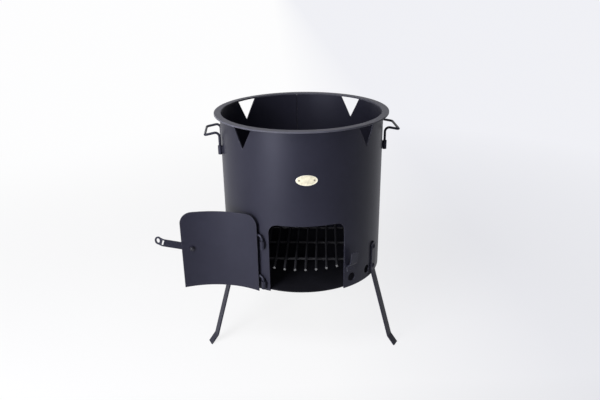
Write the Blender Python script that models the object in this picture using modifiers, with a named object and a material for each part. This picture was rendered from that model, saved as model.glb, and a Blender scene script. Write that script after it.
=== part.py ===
"""Kazan stove: a sheet steel fire drum on three bent legs, with a door, a latch and a grate.

Metres, +Z up, the door's side towards -Y. The origin is the middle of the base plate's underside.
Angles go round the drum from the front and are positive to the right, towards +X.
Pieces on the wall are drawn lying flat, face up, and stood up on the drum by on_wall().
The door is drawn closed and swung open by its hinge's empty, which is how the stove is shown.
"""
from math import atan2, ceil, copysign, cos, hypot, pi, radians, sin, sqrt, tan

import bmesh
import bpy
from mathutils import Matrix, Vector

# Clearance between two pieces that touch on the real stove
GAP = 0.0003
# Extra length of a cutter past the faces that it cuts
OVERSHOOT = 0.010
# Widest turn of one facet of a rolled sheet, and of a tight bend
ROLL_FACET = radians(3.75)
BEND_FACET = radians(12)
# Neighbouring faces that turn by less than this are one flat face
FLATNESS = radians(0.05)

# Drum: a rolled wall with a ring welded on top and a floor welded inside
DRUM_RADIUS = 0.200
WALL_THICKNESS = 0.003
WALL_BOTTOM = -0.0025
WALL_TOP = 0.3967
WALL_FACETS = 96
RING_OUTER = 0.2137
RING_INNER = 0.1968
RING_THICKNESS = 0.004
BASE_THICKNESS = 0.003

# Smoke notches, cut down from the wall's top edge
NOTCH_ANGLES = [radians(a) for a in (-135, -45, 45, 135)]
NOTCH_WIDTH = 0.060
NOTCH_TIP = 0.344

# Stoke hole, open to the wall's lower edge
STOKE_HALF_ANGLE = radians(26.5)
STOKE_TOP = 0.174
STOKE_CORNER = 0.022

# Air holes beside the stoke hole; the left pair makes room for the hinge
AIR_HOLE_ANGLES = [radians(a) for a in (-49.6, -39.5, 33.3, 49.6)]
AIR_HOLE_DIAMETER = 0.022
AIR_HOLE_HEIGHT = 0.0225

# Legs: flat bar, round at the top, bent out under the drum and again at the foot
LEG_ANGLES = [radians(a) for a in (57.5, 175.5, -66.5)]
LEG_WIDTH = 0.020
LEG_THICKNESS = 0.004
LEG_TOP = 0.088
LEG_BEND_HEIGHT = 0.010
LEG_BEND_RADIUS = 0.012
LEG_KNEE_RADIUS = 0.2555
LEG_KNEE_HEIGHT = -0.169
LEG_KNEE_BEND = 0.010
FOOT_SLOPE = radians(40)
FOOT_LENGTH = 0.027
FLOOR = -0.1915
LEG_BOLT_HEIGHTS = (0.074, 0.021)

# M6 coach bolts and their nuts, for the legs and for the latch
BOLT_SHANK = 0.006
BOLT_HEAD = 0.013
BOLT_DOME = 0.0033
BOLT_TAIL = 0.0015
BOLT_HOLE = 0.0068
NUT_FLATS = 0.010
NUT_THICKNESS = 0.005

# Carrying handles: bent rod stood in two short pipes at each side
HANDLE_ANGLES = [radians(a) for a in (-88, 90.5)]
HANDLE_ROD = 0.006
HANDLE_HALF_SPAN = 0.041
HANDLE_REACH = 0.236
HANDLE_TOP = 0.362
HANDLE_GRIP_HEIGHT = 0.355
HANDLE_BEND = 0.010
HANDLE_CORNER = 0.0055
SOCKET_OUTER = 0.0105
SOCKET_BORE = 0.0068
SOCKET_BOTTOM = 0.3065
SOCKET_LENGTH = 0.0215

# Door: a rolled plate that overlaps the stoke hole
DOOR_THICKNESS = 0.0025
DOOR_INNER_RADIUS = 0.2005
DOOR_HALF_ANGLE = radians(27.2)
DOOR_BOTTOM = -0.0035
DOOR_TOP = 0.1930
DOOR_CORNER = 0.027
DOOR_OPEN = radians(189.5)

# Hinges: pipes on the wall, and rods on the door that hook down into them
HINGE_ANGLE = radians(-30.4)
HINGE_TUBE_OUTER = 0.0115
HINGE_TUBE_BORE = 0.0068
HINGE_TUBES = ((0.1109, 0.1304), (0.0045, 0.024))
HINGE_ROD = 0.006
HINGE_ROD_LEVELS = (0.1445, 0.0361)
HINGE_ROD_BEND = 0.0115
HINGE_ROD_REACH = 0.030
HINGE_ROD_SHORT = 0.002

# Latch: a lever on the door that drops behind a strip that stands off the wall
LATCH_ANGLE = radians(20.4)
LATCH_HEIGHT = 0.0996
LATCH_RAISED = radians(17.5)
WASHER_OUTER = 0.012
WASHER_THICKNESS = 0.001
LEVER_WIDTH = 0.018
LEVER_THICKNESS = 0.003
LEVER_RING_AT = 0.0835
LEVER_RING_RADIUS = 0.0095
LEVER_RING_HOLE = 0.0135
LEVER_SLOT_AT = 0.070
LEVER_SLOT_LENGTH = 0.006
LEVER_SLOT_WIDTH = 0.013
LEVER_TIP_BEND = radians(40)
LEVER_BEND_RADIUS = 0.004
CATCH_ANGLE = radians(31.5)
CATCH_WIDTH = 0.020
CATCH_THICKNESS = 0.003
CATCH_BOTTOM = 0.043
CATCH_TOP = 0.0978
CATCH_FOOT = 0.013
CATCH_STEP = 0.014
CATCH_STEP_ANGLE = radians(48)
CATCH_LEAN = radians(11)
CATCH_BEND_RADIUS = 0.005

# Badge: a bare oval plate on two rivets
BADGE_HEIGHT = 0.2865
BADGE_LENGTH = 0.041
BADGE_DEPTH = 0.0245
BADGE_THICKNESS = 0.0010
BADGE_RIM = 0.0013
BADGE_RECESS = 0.0004
RIVET_OFFSET = 0.0172
RIVET_SHANK = 0.0020
RIVET_HOLE = 0.0027
RIVET_HEAD = 0.0036
RIVET_DOME = 0.0009

# Grate: rods laid across three cross rods, on four rests welded inside the wall
GRATE_ROD = 0.006
GRATE_RADIUS = 0.185
GRATE_PITCH = 0.025
GRATE_RODS = 14
GRATE_CROSS_PLACES = (-0.114, -0.022, 0.070)
GRATE_HEIGHT = 0.0545
GRATE_TURN = radians(-5)
REST_WIDTH = 0.016
REST_THICKNESS = 0.003
REST_PAD_BOTTOM = 0.0350
REST_BEND_RADIUS = 0.003
REST_SHELF = 0.022

# Round pieces: facets of a full turn
FINE_FACETS = 96
HOLE_FACETS = 24
SMALL_FACETS = 16

# Values that follow from the sizes above
WALL_INNER = DRUM_RADIUS - WALL_THICKNESS
SEAT_RADIUS = DRUM_RADIUS + GAP
DOOR_MIDDLE_RADIUS = DOOR_INNER_RADIUS + DOOR_THICKNESS / 2
DOOR_OUTER_RADIUS = DOOR_INNER_RADIUS + DOOR_THICKNESS
HINGE_RADIUS = SEAT_RADIUS + HINGE_TUBE_OUTER / 2
HINGE_POINT = Vector((HINGE_RADIUS * sin(HINGE_ANGLE), -HINGE_RADIUS * cos(HINGE_ANGLE), 0.0))
LEVER_MIDDLE_RADIUS = DOOR_OUTER_RADIUS + WASHER_THICKNESS + 2 * GAP + LEVER_THICKNESS / 2


def clear_scene():
    """Empties the scene and makes the two collections."""
    for old in list(bpy.data.objects):
        bpy.data.objects.remove(old, do_unlink=True)
    made = []
    for name in ("kazan_stove", "cutters"):
        collection = bpy.data.collections.new(name)
        bpy.context.scene.collection.children.link(collection)
        made.append(collection)
    return made


def paint(name, colour, roughness, metallic):
    """A plain Principled material."""
    material = bpy.data.materials.new(name)
    material.use_nodes = True
    shader = material.node_tree.nodes["Principled BSDF"]
    shader.inputs["Base Color"].default_value = (*colour, 1.0)
    shader.inputs["Roughness"].default_value = roughness
    shader.inputs["Metallic"].default_value = metallic
    return material


def add(name, data, material, parent=None):
    """Puts a mesh or a curve into the stove's collection as a named piece."""
    if isinstance(data, bpy.types.Mesh):
        data.shade_smooth()
        data.set_sharp_from_angle(angle=radians(30))
    data.materials.clear()
    data.materials.append(material)
    piece = bpy.data.objects.new(name, data)
    piece.parent = parent
    STOVE.objects.link(piece)
    return piece


def add_empty(name, location, rotation, parent=None):
    """A frame that moving pieces hang from, placed on their joint's axis."""
    empty = bpy.data.objects.new(name, None)
    empty.location = location
    empty.rotation_euler = rotation
    empty.parent = parent
    STOVE.objects.link(empty)
    return empty


def on_wall(piece, angle, radius, height, origin=(0.0, 0.0, 0.0)):
    """Stands a piece that was drawn face up on the drum, its face outwards and its +Y up."""
    place = Vector((radius * sin(angle), -radius * cos(angle), height))
    piece.location = place - Vector(origin)
    piece.rotation_euler = (pi / 2, 0.0, angle)
    return piece


def edit(mesh, change):
    """Runs one bmesh change on a mesh."""
    work = bmesh.new()
    work.from_mesh(mesh)
    change(work)
    work.to_mesh(mesh)
    work.free()
    return mesh


def whole(work):
    """All the geometry of a bmesh, as its operators take it."""
    return work.verts[:] + work.edges[:] + work.faces[:]


def circle(radius, facets, x=0.0, y=0.0, start=0.0):
    """Points of a circle, anticlockwise."""
    steps = [start + 2 * pi * i / facets for i in range(facets)]
    return [(x + radius * cos(a), y + radius * sin(a)) for a in steps]


def arc(x, y, radius, first, last, facets):
    """Points of an arc from one angle to another, both ends included."""
    steps = [first + (last - first) * i / facets for i in range(facets + 1)]
    return [(x + radius * cos(a), y + radius * sin(a)) for a in steps]


def flat_blank(loops, thickness):
    """A flat sheet cut out along closed loops, its middle at z = 0."""
    curve = bpy.data.curves.new("blank", "CURVE")
    curve.dimensions = "2D"
    curve.fill_mode = "BOTH"
    curve.extrude = thickness / 2
    for loop in loops:
        spline = curve.splines.new("POLY")
        spline.points.add(len(loop) - 1)
        for point, (x, y) in zip(spline.points, loop):
            point.co = (x, y, 0.0, 1.0)
        spline.use_cyclic_u = True
    source = bpy.data.objects.new("blank", curve)
    STOVE.objects.link(source)
    evaluated = source.evaluated_get(bpy.context.evaluated_depsgraph_get())
    mesh = bpy.data.meshes.new_from_object(evaluated)
    bpy.data.objects.remove(source, do_unlink=True)

    def weld(work):
        bmesh.ops.remove_doubles(work, verts=work.verts[:], dist=1e-6)
        bmesh.ops.recalc_face_normals(work, faces=work.faces[:])

    return edit(mesh, weld)


def score(mesh, stations):
    """Cuts a blank's faces across at each x, so that it can bend there."""
    def cut(work):
        for x in stations:
            bmesh.ops.bisect_plane(work, geom=whole(work), dist=1e-7,
                                   plane_co=(x, 0.0, 0.0), plane_no=(1.0, 0.0, 0.0))
    return edit(mesh, cut)


def join_flat_faces(mesh):
    """Joins the flat faces that the blank's fill left in pieces."""
    def join(work):
        bmesh.ops.dissolve_limit(work, angle_limit=FLATNESS, verts=work.verts[:],
                                 edges=work.edges[:])
    return edit(mesh, join)


def roll(mesh, radius):
    """Rolls a blank about an upright axis a radius behind its middle."""
    half = max(vertex.co.x for vertex in mesh.vertices)
    facets = 2 * ceil(half / radius / ROLL_FACET)
    score(mesh, [half * (2 * i / facets - 1) for i in range(1, facets)])
    for vertex in mesh.vertices:
        turn = vertex.co.x / radius
        out = radius + vertex.co.z
        vertex.co = (out * sin(turn), vertex.co.y, out * cos(turn) - radius)
    return join_flat_faces(mesh)


def bent(along, above, bends):
    """Where a point of a flat strip lies once the strip is bent; a positive angle turns up."""
    x, z, heading, reached = 0.0, 0.0, 0.0, 0.0
    for start, radius, angle in bends:
        if along <= start:
            break
        x += (start - reached) * cos(heading)
        z += (start - reached) * sin(heading)
        turn = copysign(min(abs(angle), (along - start) / radius), angle)
        side = copysign(radius, angle)
        x += side * (sin(heading + turn) - sin(heading))
        z -= side * (cos(heading + turn) - cos(heading))
        heading += turn
        reached = start + radius * abs(turn)
    x += (along - reached) * cos(heading)
    z += (along - reached) * sin(heading)
    return x - above * sin(heading), z + above * cos(heading)


def fold(mesh, bends):
    """Bends a blank that lies along +X; each bend is its start, middle radius and angle."""
    stations = []
    for start, radius, angle in bends:
        facets = ceil(abs(angle) / BEND_FACET)
        stations += [start + radius * abs(angle) * i / facets for i in range(facets + 1)]
    score(mesh, stations)
    for vertex in mesh.vertices:
        x, z = bent(vertex.co.x, vertex.co.z, bends)
        vertex.co = (x, vertex.co.y, z)
    return join_flat_faces(mesh)


def turned(profile, facets):
    """A solid of revolution about Z, from (radius, height) points given top to bottom."""
    mesh = bpy.data.meshes.new("turned")
    work = bmesh.new()
    points = [work.verts.new((radius, 0.0, height)) for radius, height in profile]
    for first, second in zip(points, points[1:]):
        work.edges.new((first, second))
    if profile[0][0] > 0:
        work.edges.new((points[-1], points[0]))
    work.to_mesh(mesh)
    work.free()
    source = bpy.data.objects.new("turned", mesh)
    screw = source.modifiers.new("Turn", "SCREW")
    screw.steps = facets
    screw.render_steps = facets
    screw.use_merge_vertices = True
    screw.merge_threshold = 0.00001
    STOVE.objects.link(source)
    evaluated = source.evaluated_get(bpy.context.evaluated_depsgraph_get())
    result = bpy.data.meshes.new_from_object(evaluated)
    bpy.data.objects.remove(source, do_unlink=True)
    return result


def pipe(outer, bore, length):
    """A straight pipe, square at both ends, standing on z = 0."""
    profile = [(outer / 2, length), (outer / 2, 0.0), (bore / 2, 0.0), (bore / 2, length)]
    return turned(profile, SMALL_FACETS)


def dome(diameter, height, facets):
    """Profile points of a low domed head, from its top down to its rim."""
    radius = (diameter ** 2 / 4 + height ** 2) / (2 * height)
    spread = atan2(diameter / 2, radius - height)
    steps = [spread * i / facets for i in range(facets + 1)]
    return [(radius * sin(a), radius * cos(a) - radius + height) for a in steps]


def rounded_path(corners, radii, facets):
    """Points along a bent rod: straight runs with an arc of the given radius at each corner."""
    points = [Vector(corners[0])]
    for i, radius in enumerate(radii, start=1):
        before, corner, after = (Vector(c) for c in corners[i - 1:i + 2])
        inward = (corner - before).normalized()
        outward = (after - corner).normalized()
        turn = inward.angle(outward)
        axis = inward.cross(outward).normalized()
        start = corner - inward * radius * tan(turn / 2)
        centre = start + axis.cross(inward) * radius
        for step in range(facets + 1):
            spin = Matrix.Rotation(turn * step / facets, 3, axis)
            points.append(centre + spin @ (start - centre))
    points.append(Vector(corners[-1]))
    return points


def rod(name, points, diameter, resolution, material, parent=None):
    """A round rod along a line of points."""
    curve = bpy.data.curves.new(name, "CURVE")
    curve.dimensions = "3D"
    curve.bevel_depth = diameter / 2
    curve.bevel_resolution = resolution
    curve.use_fill_caps = True
    spline = curve.splines.new("POLY")
    spline.points.add(len(points) - 1)
    for point, place in zip(spline.points, points):
        point.co = (*place, 1.0)
    return add(name, curve, material, parent)


def cutter(name, mesh):
    """Puts a mesh among the cutters, where it is neither built nor rendered."""
    tool = bpy.data.objects.new(name, mesh)
    tool.hide_render = True
    tool.display_type = "WIRE"
    CUTTERS.objects.link(tool)
    return tool


def hole_cutter(name, diameter, facets, angle, height):
    """A round drill through the wall, pointing at the drum's middle."""
    mesh = flat_blank([circle(diameter / 2, facets)], 2 * OVERSHOOT)
    return on_wall(cutter(name, mesh), angle, DRUM_RADIUS, height)


def rolled_cutter(name, loop, angle, height):
    """A punch through the wall whose sides point at the drum's middle."""
    mesh = roll(flat_blank([loop], 2 * OVERSHOOT), DRUM_RADIUS)
    return on_wall(cutter(name, mesh), angle, DRUM_RADIUS, height)


def round_topped(half_width, bottom, top, corner):
    """Outline of a plate with two round top corners and two square bottom ones."""
    side = half_width - corner
    return ([(-half_width, bottom), (half_width, bottom)]
            + arc(side, top - corner, corner, 0.0, pi / 2, 8)
            + arc(-side, top - corner, corner, pi / 2, pi, 8))


def make_wall():
    """The rolled wall, cut for the door, the smoke, the air and the fasteners."""
    mesh = bpy.data.meshes.new("drum_shell")
    work = bmesh.new()
    bmesh.ops.create_cone(work, segments=WALL_FACETS, radius1=DRUM_RADIUS, radius2=DRUM_RADIUS,
                          depth=WALL_TOP - WALL_BOTTOM)
    bmesh.ops.translate(work, verts=work.verts[:], vec=(0.0, 0.0, (WALL_TOP + WALL_BOTTOM) / 2))
    work.to_mesh(mesh)
    work.free()
    wall = add("drum_shell", mesh, BLACK)
    skin = wall.modifiers.new("Sheet", "SOLIDIFY")
    skin.thickness = WALL_THICKNESS
    skin.offset = -1.0

    stoke = round_topped(STOKE_HALF_ANGLE * DRUM_RADIUS, WALL_BOTTOM - OVERSHOOT,
                         STOKE_TOP, STOKE_CORNER)
    rolled_cutter("stoke_hole", stoke, 0.0, 0.0)
    rise = WALL_TOP - NOTCH_TIP
    slope = NOTCH_WIDTH / 2 / rise
    top = rise + OVERSHOOT
    notch = [(0.0, 0.0), (slope * top, top), (-slope * top, top)]
    for i, angle in enumerate(NOTCH_ANGLES, start=1):
        rolled_cutter(f"smoke_notch_{i}", notch, angle, NOTCH_TIP)
    for i, angle in enumerate(AIR_HOLE_ANGLES, start=1):
        hole_cutter(f"air_hole_{i}", AIR_HOLE_DIAMETER, HOLE_FACETS, angle, AIR_HOLE_HEIGHT)
    for i, angle in enumerate(LEG_ANGLES, start=1):
        for j, height in enumerate(LEG_BOLT_HEIGHTS, start=1):
            hole_cutter(f"bolt_hole_{i}_{j}", BOLT_HOLE, SMALL_FACETS, angle, height)
    for i, side in enumerate((-1, 1), start=1):
        hole_cutter(f"rivet_hole_{i}", RIVET_HOLE, SMALL_FACETS,
                    side * RIVET_OFFSET / DRUM_RADIUS, BADGE_HEIGHT)
    cuts = wall.modifiers.new("Cuts", "BOOLEAN")
    cuts.operation = "DIFFERENCE"
    cuts.solver = "EXACT"
    cuts.operand_type = "COLLECTION"
    cuts.collection = CUTTERS


def make_ring_and_base():
    """The ring that the kazan sits in, and the floor of the drum."""
    ring = turned([(RING_OUTER, RING_THICKNESS), (RING_OUTER, 0.0),
                   (RING_INNER, 0.0), (RING_INNER, RING_THICKNESS)], FINE_FACETS)
    add("top_ring", ring, GREY).location.z = WALL_TOP + GAP
    base = flat_blank([circle(WALL_INNER - GAP, FINE_FACETS)], BASE_THICKNESS)
    add("base_plate", base, BLACK).location.z = BASE_THICKNESS / 2


def bolt_mesh(grip):
    """A coach bolt that clamps a stack of the given thickness; z = 0 is under its head."""
    length = grip + NUT_THICKNESS + 2 * GAP + BOLT_TAIL
    shank = BOLT_SHANK / 2
    return turned(dome(BOLT_HEAD, BOLT_DOME, 5) + [(shank, 0.0), (shank, -length), (0.0, -length)],
                  SMALL_FACETS)


def nut_mesh():
    """A hexagon nut, its middle at the origin."""
    corners = circle(NUT_FLATS / sqrt(3), 6, start=pi / 6)
    return flat_blank([corners, circle(BOLT_HOLE / 2, SMALL_FACETS)], NUT_THICKNESS)


def make_legs():
    """Three legs of bent flat bar, each held by two bolts with nuts inside the drum."""
    middle_radius = SEAT_RADIUS + LEG_THICKNESS / 2
    run_out = LEG_KNEE_RADIUS - middle_radius
    run_down = LEG_BEND_HEIGHT - LEG_KNEE_HEIGHT
    slope = atan2(run_out, run_down)
    to_bend = LEG_TOP - LEG_BEND_HEIGHT
    to_knee = to_bend + hypot(run_out, run_down)
    bend_start = to_bend - LEG_BEND_RADIUS * tan(slope / 2)
    knee_turn = FOOT_SLOPE - slope
    bend_loss = LEG_BEND_RADIUS * (2 * tan(slope / 2) - slope)
    knee_start = to_knee - bend_loss - LEG_KNEE_BEND * tan(knee_turn / 2)
    bends = [(bend_start, LEG_BEND_RADIUS, slope), (knee_start, LEG_KNEE_BEND, knee_turn)]

    half = LEG_WIDTH / 2
    end = knee_start + LEG_KNEE_BEND * knee_turn + FOOT_LENGTH
    outline = arc(half, 0.0, half, pi / 2, 3 * pi / 2, 12) + [(end, -half), (end, half)]
    holes = [circle(BOLT_HOLE / 2, SMALL_FACETS, LEG_TOP - height) for height in LEG_BOLT_HEIGHTS]
    blank = fold(flat_blank([outline] + holes, LEG_THICKNESS), bends)
    blank.transform(Matrix.Rotation(-pi / 2, 4, "Z"))

    def trim_foot(work):
        cut = bmesh.ops.bisect_plane(work, geom=whole(work), dist=1e-7, clear_inner=True,
                                     plane_co=(0.0, FLOOR - LEG_TOP, 0.0), plane_no=(0.0, 1.0, 0.0))
        rim = [item for item in cut["geom_cut"] if isinstance(item, bmesh.types.BMEdge)]
        bmesh.ops.contextual_create(work, geom=rim)
        bmesh.ops.recalc_face_normals(work, faces=work.faces[:])

    edit(blank, trim_foot)
    stack = LEG_THICKNESS + WALL_THICKNESS + 2 * GAP
    head_radius = SEAT_RADIUS + LEG_THICKNESS + GAP
    nut_radius = head_radius - stack - 2 * GAP - NUT_THICKNESS / 2
    bolt, nut = bolt_mesh(stack), nut_mesh()
    for i, angle in enumerate(LEG_ANGLES, start=1):
        on_wall(add(f"leg_{i}", blank, BLACK), angle, middle_radius, LEG_TOP)
        for j, height in enumerate(LEG_BOLT_HEIGHTS, start=1):
            on_wall(add(f"leg_bolt_{i}_{j}", bolt, BLACK), angle, head_radius, height)
            on_wall(add(f"leg_nut_{i}_{j}", nut, BLACK), angle, nut_radius, height)


def make_handles():
    """Two carrying handles of bent rod, each stood in two short pipes on the wall."""
    socket_radius = SEAT_RADIUS + SOCKET_OUTER / 2
    root = sqrt(socket_radius ** 2 - HANDLE_HALF_SPAN ** 2)
    half = [(HANDLE_HALF_SPAN, -root, SOCKET_BOTTOM), (HANDLE_HALF_SPAN, -root, HANDLE_TOP),
            (HANDLE_HALF_SPAN, -HANDLE_REACH, HANDLE_GRIP_HEIGHT)]
    other = [(-x, y, z) for x, y, z in reversed(half)]
    radii = [HANDLE_BEND, HANDLE_CORNER, HANDLE_CORNER, HANDLE_BEND]
    path = rounded_path(half + other, radii, 6)
    socket = pipe(SOCKET_OUTER, SOCKET_BORE, SOCKET_LENGTH)
    for angle, name in zip(HANDLE_ANGLES, ("left", "right")):
        turn = Matrix.Rotation(angle, 3, "Z")
        rod(f"handle_{name}", [turn @ point for point in path], HANDLE_ROD, 3, BLACK)
        for place in (half[0], other[-1]):
            point = turn @ Vector(place)
            word = "rear" if point.y > 0 else "front"
            add(f"handle_socket_{name}_{word}", socket, BLACK).location = point


def make_badge():
    """The bare oval badge plate, with a raised rim, and its two rivets."""
    mesh = bpy.data.meshes.new("badge_plate")
    work = bmesh.new()
    bmesh.ops.create_cone(work, cap_ends=True, segments=48, radius1=BADGE_LENGTH / 2,
                          radius2=BADGE_LENGTH / 2, depth=BADGE_THICKNESS)
    bmesh.ops.scale(work, verts=work.verts[:], vec=(1.0, BADGE_DEPTH / BADGE_LENGTH, 1.0))
    face = max(work.faces, key=lambda f: f.calc_center_median().z)
    bmesh.ops.inset_region(work, faces=[face], thickness=BADGE_RIM)
    bmesh.ops.inset_region(work, faces=[face], thickness=BADGE_RECESS, depth=-BADGE_RECESS)
    bmesh.ops.triangulate(work, faces=[f for f in work.faces if len(f.verts) > 4])
    work.to_mesh(mesh)
    work.free()
    badge_radius = SEAT_RADIUS + BADGE_THICKNESS / 2
    badge = on_wall(add("badge_plate", roll(mesh, badge_radius), BRASS),
                    0.0, badge_radius, BADGE_HEIGHT)
    rivet_seat = SEAT_RADIUS + BADGE_THICKNESS - BADGE_RECESS + GAP
    length = rivet_seat - WALL_INNER + RIVET_DOME
    shank = RIVET_SHANK / 2
    rivet = turned(dome(RIVET_HEAD, RIVET_DOME, 4)
                   + [(shank, 0.0), (shank, -length), (0.0, -length)], 12)
    drill = flat_blank([circle(RIVET_HOLE / 2, SMALL_FACETS)], 2 * OVERSHOOT)
    for side, name in ((-1, "left"), (1, "right")):
        angle = side * RIVET_OFFSET / DRUM_RADIUS
        on_wall(add(f"badge_rivet_{name}", rivet, BRASS), angle, rivet_seat, BADGE_HEIGHT)
        tool = cutter(f"badge_hole_{name}", drill)
        CUTTERS.objects.unlink(tool)
        BADGE_CUTTERS.objects.link(tool)
        on_wall(tool, angle, DRUM_RADIUS, BADGE_HEIGHT)
    holes = badge.modifiers.new("Rivet holes", "BOOLEAN")
    holes.solver = "EXACT"
    holes.operand_type = "COLLECTION"
    holes.collection = BADGE_CUTTERS


def make_catch():
    """The strip welded to the wall by its foot, stepped out so that the lever drops behind it."""
    turns = (CATCH_STEP_ANGLE, CATCH_LEAN - CATCH_STEP_ANGLE)
    first, second = (CATCH_BEND_RADIUS * tan(abs(turn) / 2) for turn in turns)
    step_rise = CATCH_STEP * cos(CATCH_STEP_ANGLE)
    lean_length = (CATCH_TOP - CATCH_BOTTOM - CATCH_FOOT - step_rise) / cos(CATCH_LEAN)
    first_start = CATCH_FOOT - first
    second_start = first_start + CATCH_BEND_RADIUS * turns[0] + CATCH_STEP - first - second
    end = second_start - CATCH_BEND_RADIUS * turns[1] + lean_length - second
    half = CATCH_WIDTH / 2
    blank = fold(flat_blank([[(0.0, -half), (end, -half), (end, half), (0.0, half)]],
                            CATCH_THICKNESS),
                 [(first_start, CATCH_BEND_RADIUS, turns[0]),
                  (second_start, CATCH_BEND_RADIUS, turns[1])])
    blank.transform(Matrix.Rotation(pi / 2, 4, "Z"))
    on_wall(add("latch_catch", blank, BLACK), CATCH_ANGLE, SEAT_RADIUS + CATCH_THICKNESS / 2,
            CATCH_BOTTOM)


def make_hinge_tubes():
    """The two pipes on the wall that carry the door."""
    for name, (bottom, top) in zip(("upper", "lower"), HINGE_TUBES):
        piece = add(f"hinge_tube_{name}", pipe(HINGE_TUBE_OUTER, HINGE_TUBE_BORE, top - bottom), BLACK)
        piece.location = HINGE_POINT + Vector((0.0, 0.0, bottom))


def make_door(hinge):
    """The door plate with its two hooked hinge rods, drawn closed."""
    half = DOOR_HALF_ANGLE * DOOR_MIDDLE_RADIUS
    outline = round_topped(half, DOOR_BOTTOM, DOOR_TOP, DOOR_CORNER)
    pivot = circle(BOLT_HOLE / 2, SMALL_FACETS, LATCH_ANGLE * DOOR_MIDDLE_RADIUS, LATCH_HEIGHT)
    plate = roll(flat_blank([outline, pivot], DOOR_THICKNESS), DOOR_MIDDLE_RADIUS)
    on_wall(add("door_plate", plate, BLACK, hinge), 0.0, DOOR_MIDDLE_RADIUS, 0.0, HINGE_POINT)

    for name, level, (bottom, _) in zip(("upper", "lower"), HINGE_ROD_LEVELS, HINGE_TUBES):
        hook = [(0.0, bottom + HINGE_ROD_SHORT)]
        hook += arc(HINGE_ROD_BEND, level - HINGE_ROD_BEND, HINGE_ROD_BEND, pi, pi / 2, 6)
        hook += [(HINGE_ROD_REACH * share, level) for share in (0.6, 0.8, 1.0)]
        points = []
        for along, height in hook:
            angle = HINGE_ANGLE + along / HINGE_RADIUS
            place = Vector((HINGE_RADIUS * sin(angle), -HINGE_RADIUS * cos(angle), height))
            points.append(place - HINGE_POINT)
        rod(f"hinge_rod_{name}", points, HINGE_ROD, 3, BLACK, hinge)


def make_latch(hinge):
    """The lever, on a bolt through the door with a washer under it and a nut behind."""
    washer = flat_blank([circle(WASHER_OUTER / 2, HOLE_FACETS),
                         circle(BOLT_HOLE / 2, SMALL_FACETS)], WASHER_THICKNESS)
    on_wall(add("latch_washer", washer, STEEL, hinge), LATCH_ANGLE,
            DOOR_OUTER_RADIUS + GAP + WASHER_THICKNESS / 2, LATCH_HEIGHT, HINGE_POINT)
    head_radius = LEVER_MIDDLE_RADIUS + LEVER_THICKNESS / 2 + GAP
    stack = head_radius - DOOR_INNER_RADIUS
    on_wall(add("latch_bolt", bolt_mesh(stack), STEEL, hinge), LATCH_ANGLE,
            head_radius, LATCH_HEIGHT, HINGE_POINT)
    on_wall(add("latch_nut", nut_mesh(), STEEL, hinge), LATCH_ANGLE,
            DOOR_INNER_RADIUS - 2 * GAP - NUT_THICKNESS / 2, LATCH_HEIGHT, HINGE_POINT)

    half = LEVER_WIDTH / 2
    opening = atan2(half, sqrt(LEVER_RING_RADIUS ** 2 - half ** 2))
    outline = (arc(0.0, 0.0, half, pi / 2, 3 * pi / 2, 12)
               + arc(LEVER_RING_AT, 0.0, LEVER_RING_RADIUS, opening - pi, pi - opening, 20))
    slot_x, slot_y = LEVER_SLOT_LENGTH / 2, LEVER_SLOT_WIDTH / 2
    slot = [(LEVER_SLOT_AT + x * slot_x, y * slot_y) for x, y in ((-1, -1), (1, -1), (1, 1), (-1, 1))]
    loops = [outline, slot, circle(LEVER_RING_HOLE / 2, HOLE_FACETS, LEVER_RING_AT),
             circle(BOLT_HOLE / 2, SMALL_FACETS)]
    bend_start = LEVER_SLOT_AT - LEVER_BEND_RADIUS * LEVER_TIP_BEND / 2
    lever_mesh = fold(flat_blank(loops, LEVER_THICKNESS),
                      [(bend_start, LEVER_BEND_RADIUS, LEVER_TIP_BEND)])
    pivot = on_wall(add_empty("latch_pivot", (0.0, 0.0, 0.0), (0.0, 0.0, 0.0), hinge),
                    LATCH_ANGLE, LEVER_MIDDLE_RADIUS, LATCH_HEIGHT, HINGE_POINT)
    add("latch_lever", lever_mesh, BLACK, pivot).rotation_euler.z = LATCH_RAISED


def make_grate():
    """The grate, loose on its rests, and the rests under its first and last cross rods."""
    grate = add_empty("grate_middle", (0.0, 0.0, GRATE_HEIGHT), (0.0, 0.0, GRATE_TURN))
    for i in range(1, GRATE_RODS + 1):
        x = (i - (GRATE_RODS + 1) / 2) * GRATE_PITCH
        reach = sqrt(GRATE_RADIUS ** 2 - x ** 2)
        rod(f"grate_rod_{i:02d}", [(x, -reach, 0.0), (x, reach, 0.0)], GRATE_ROD, 2, STEEL, grate)
    drop = -GRATE_ROD - GAP
    for i, y in enumerate(GRATE_CROSS_PLACES, start=1):
        reach = sqrt(GRATE_RADIUS ** 2 - y ** 2)
        rod(f"grate_cross_rod_{i}", [(-reach, y, drop), (reach, y, drop)], GRATE_ROD, 2, STEEL, grate)

    shelf_top = GRATE_HEIGHT + drop - GRATE_ROD / 2 - GAP
    rise = shelf_top - REST_THICKNESS / 2 - REST_BEND_RADIUS - REST_PAD_BOTTOM
    end = rise + REST_BEND_RADIUS * pi / 2 + REST_SHELF
    half = REST_WIDTH / 2
    blank = fold(flat_blank([[(0.0, -half), (end, -half), (end, half), (0.0, half)]],
                            REST_THICKNESS), [(rise, REST_BEND_RADIUS, -pi / 2)])
    blank.transform(Matrix.Rotation(pi / 2, 4, "Z"))
    back = sqrt(WALL_INNER ** 2 - half ** 2) - GAP
    ends = [atan2(sqrt(GRATE_RADIUS ** 2 - y ** 2), -y)
            for y in (GRATE_CROSS_PLACES[0], GRATE_CROSS_PLACES[-1])]
    for i, angle in enumerate((ends[0], -ends[0], ends[1], -ends[1]), start=1):
        on_wall(add(f"grate_rest_{i}", blank, BLACK), angle + GRATE_TURN,
                back - REST_THICKNESS / 2, REST_PAD_BOTTOM)


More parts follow.
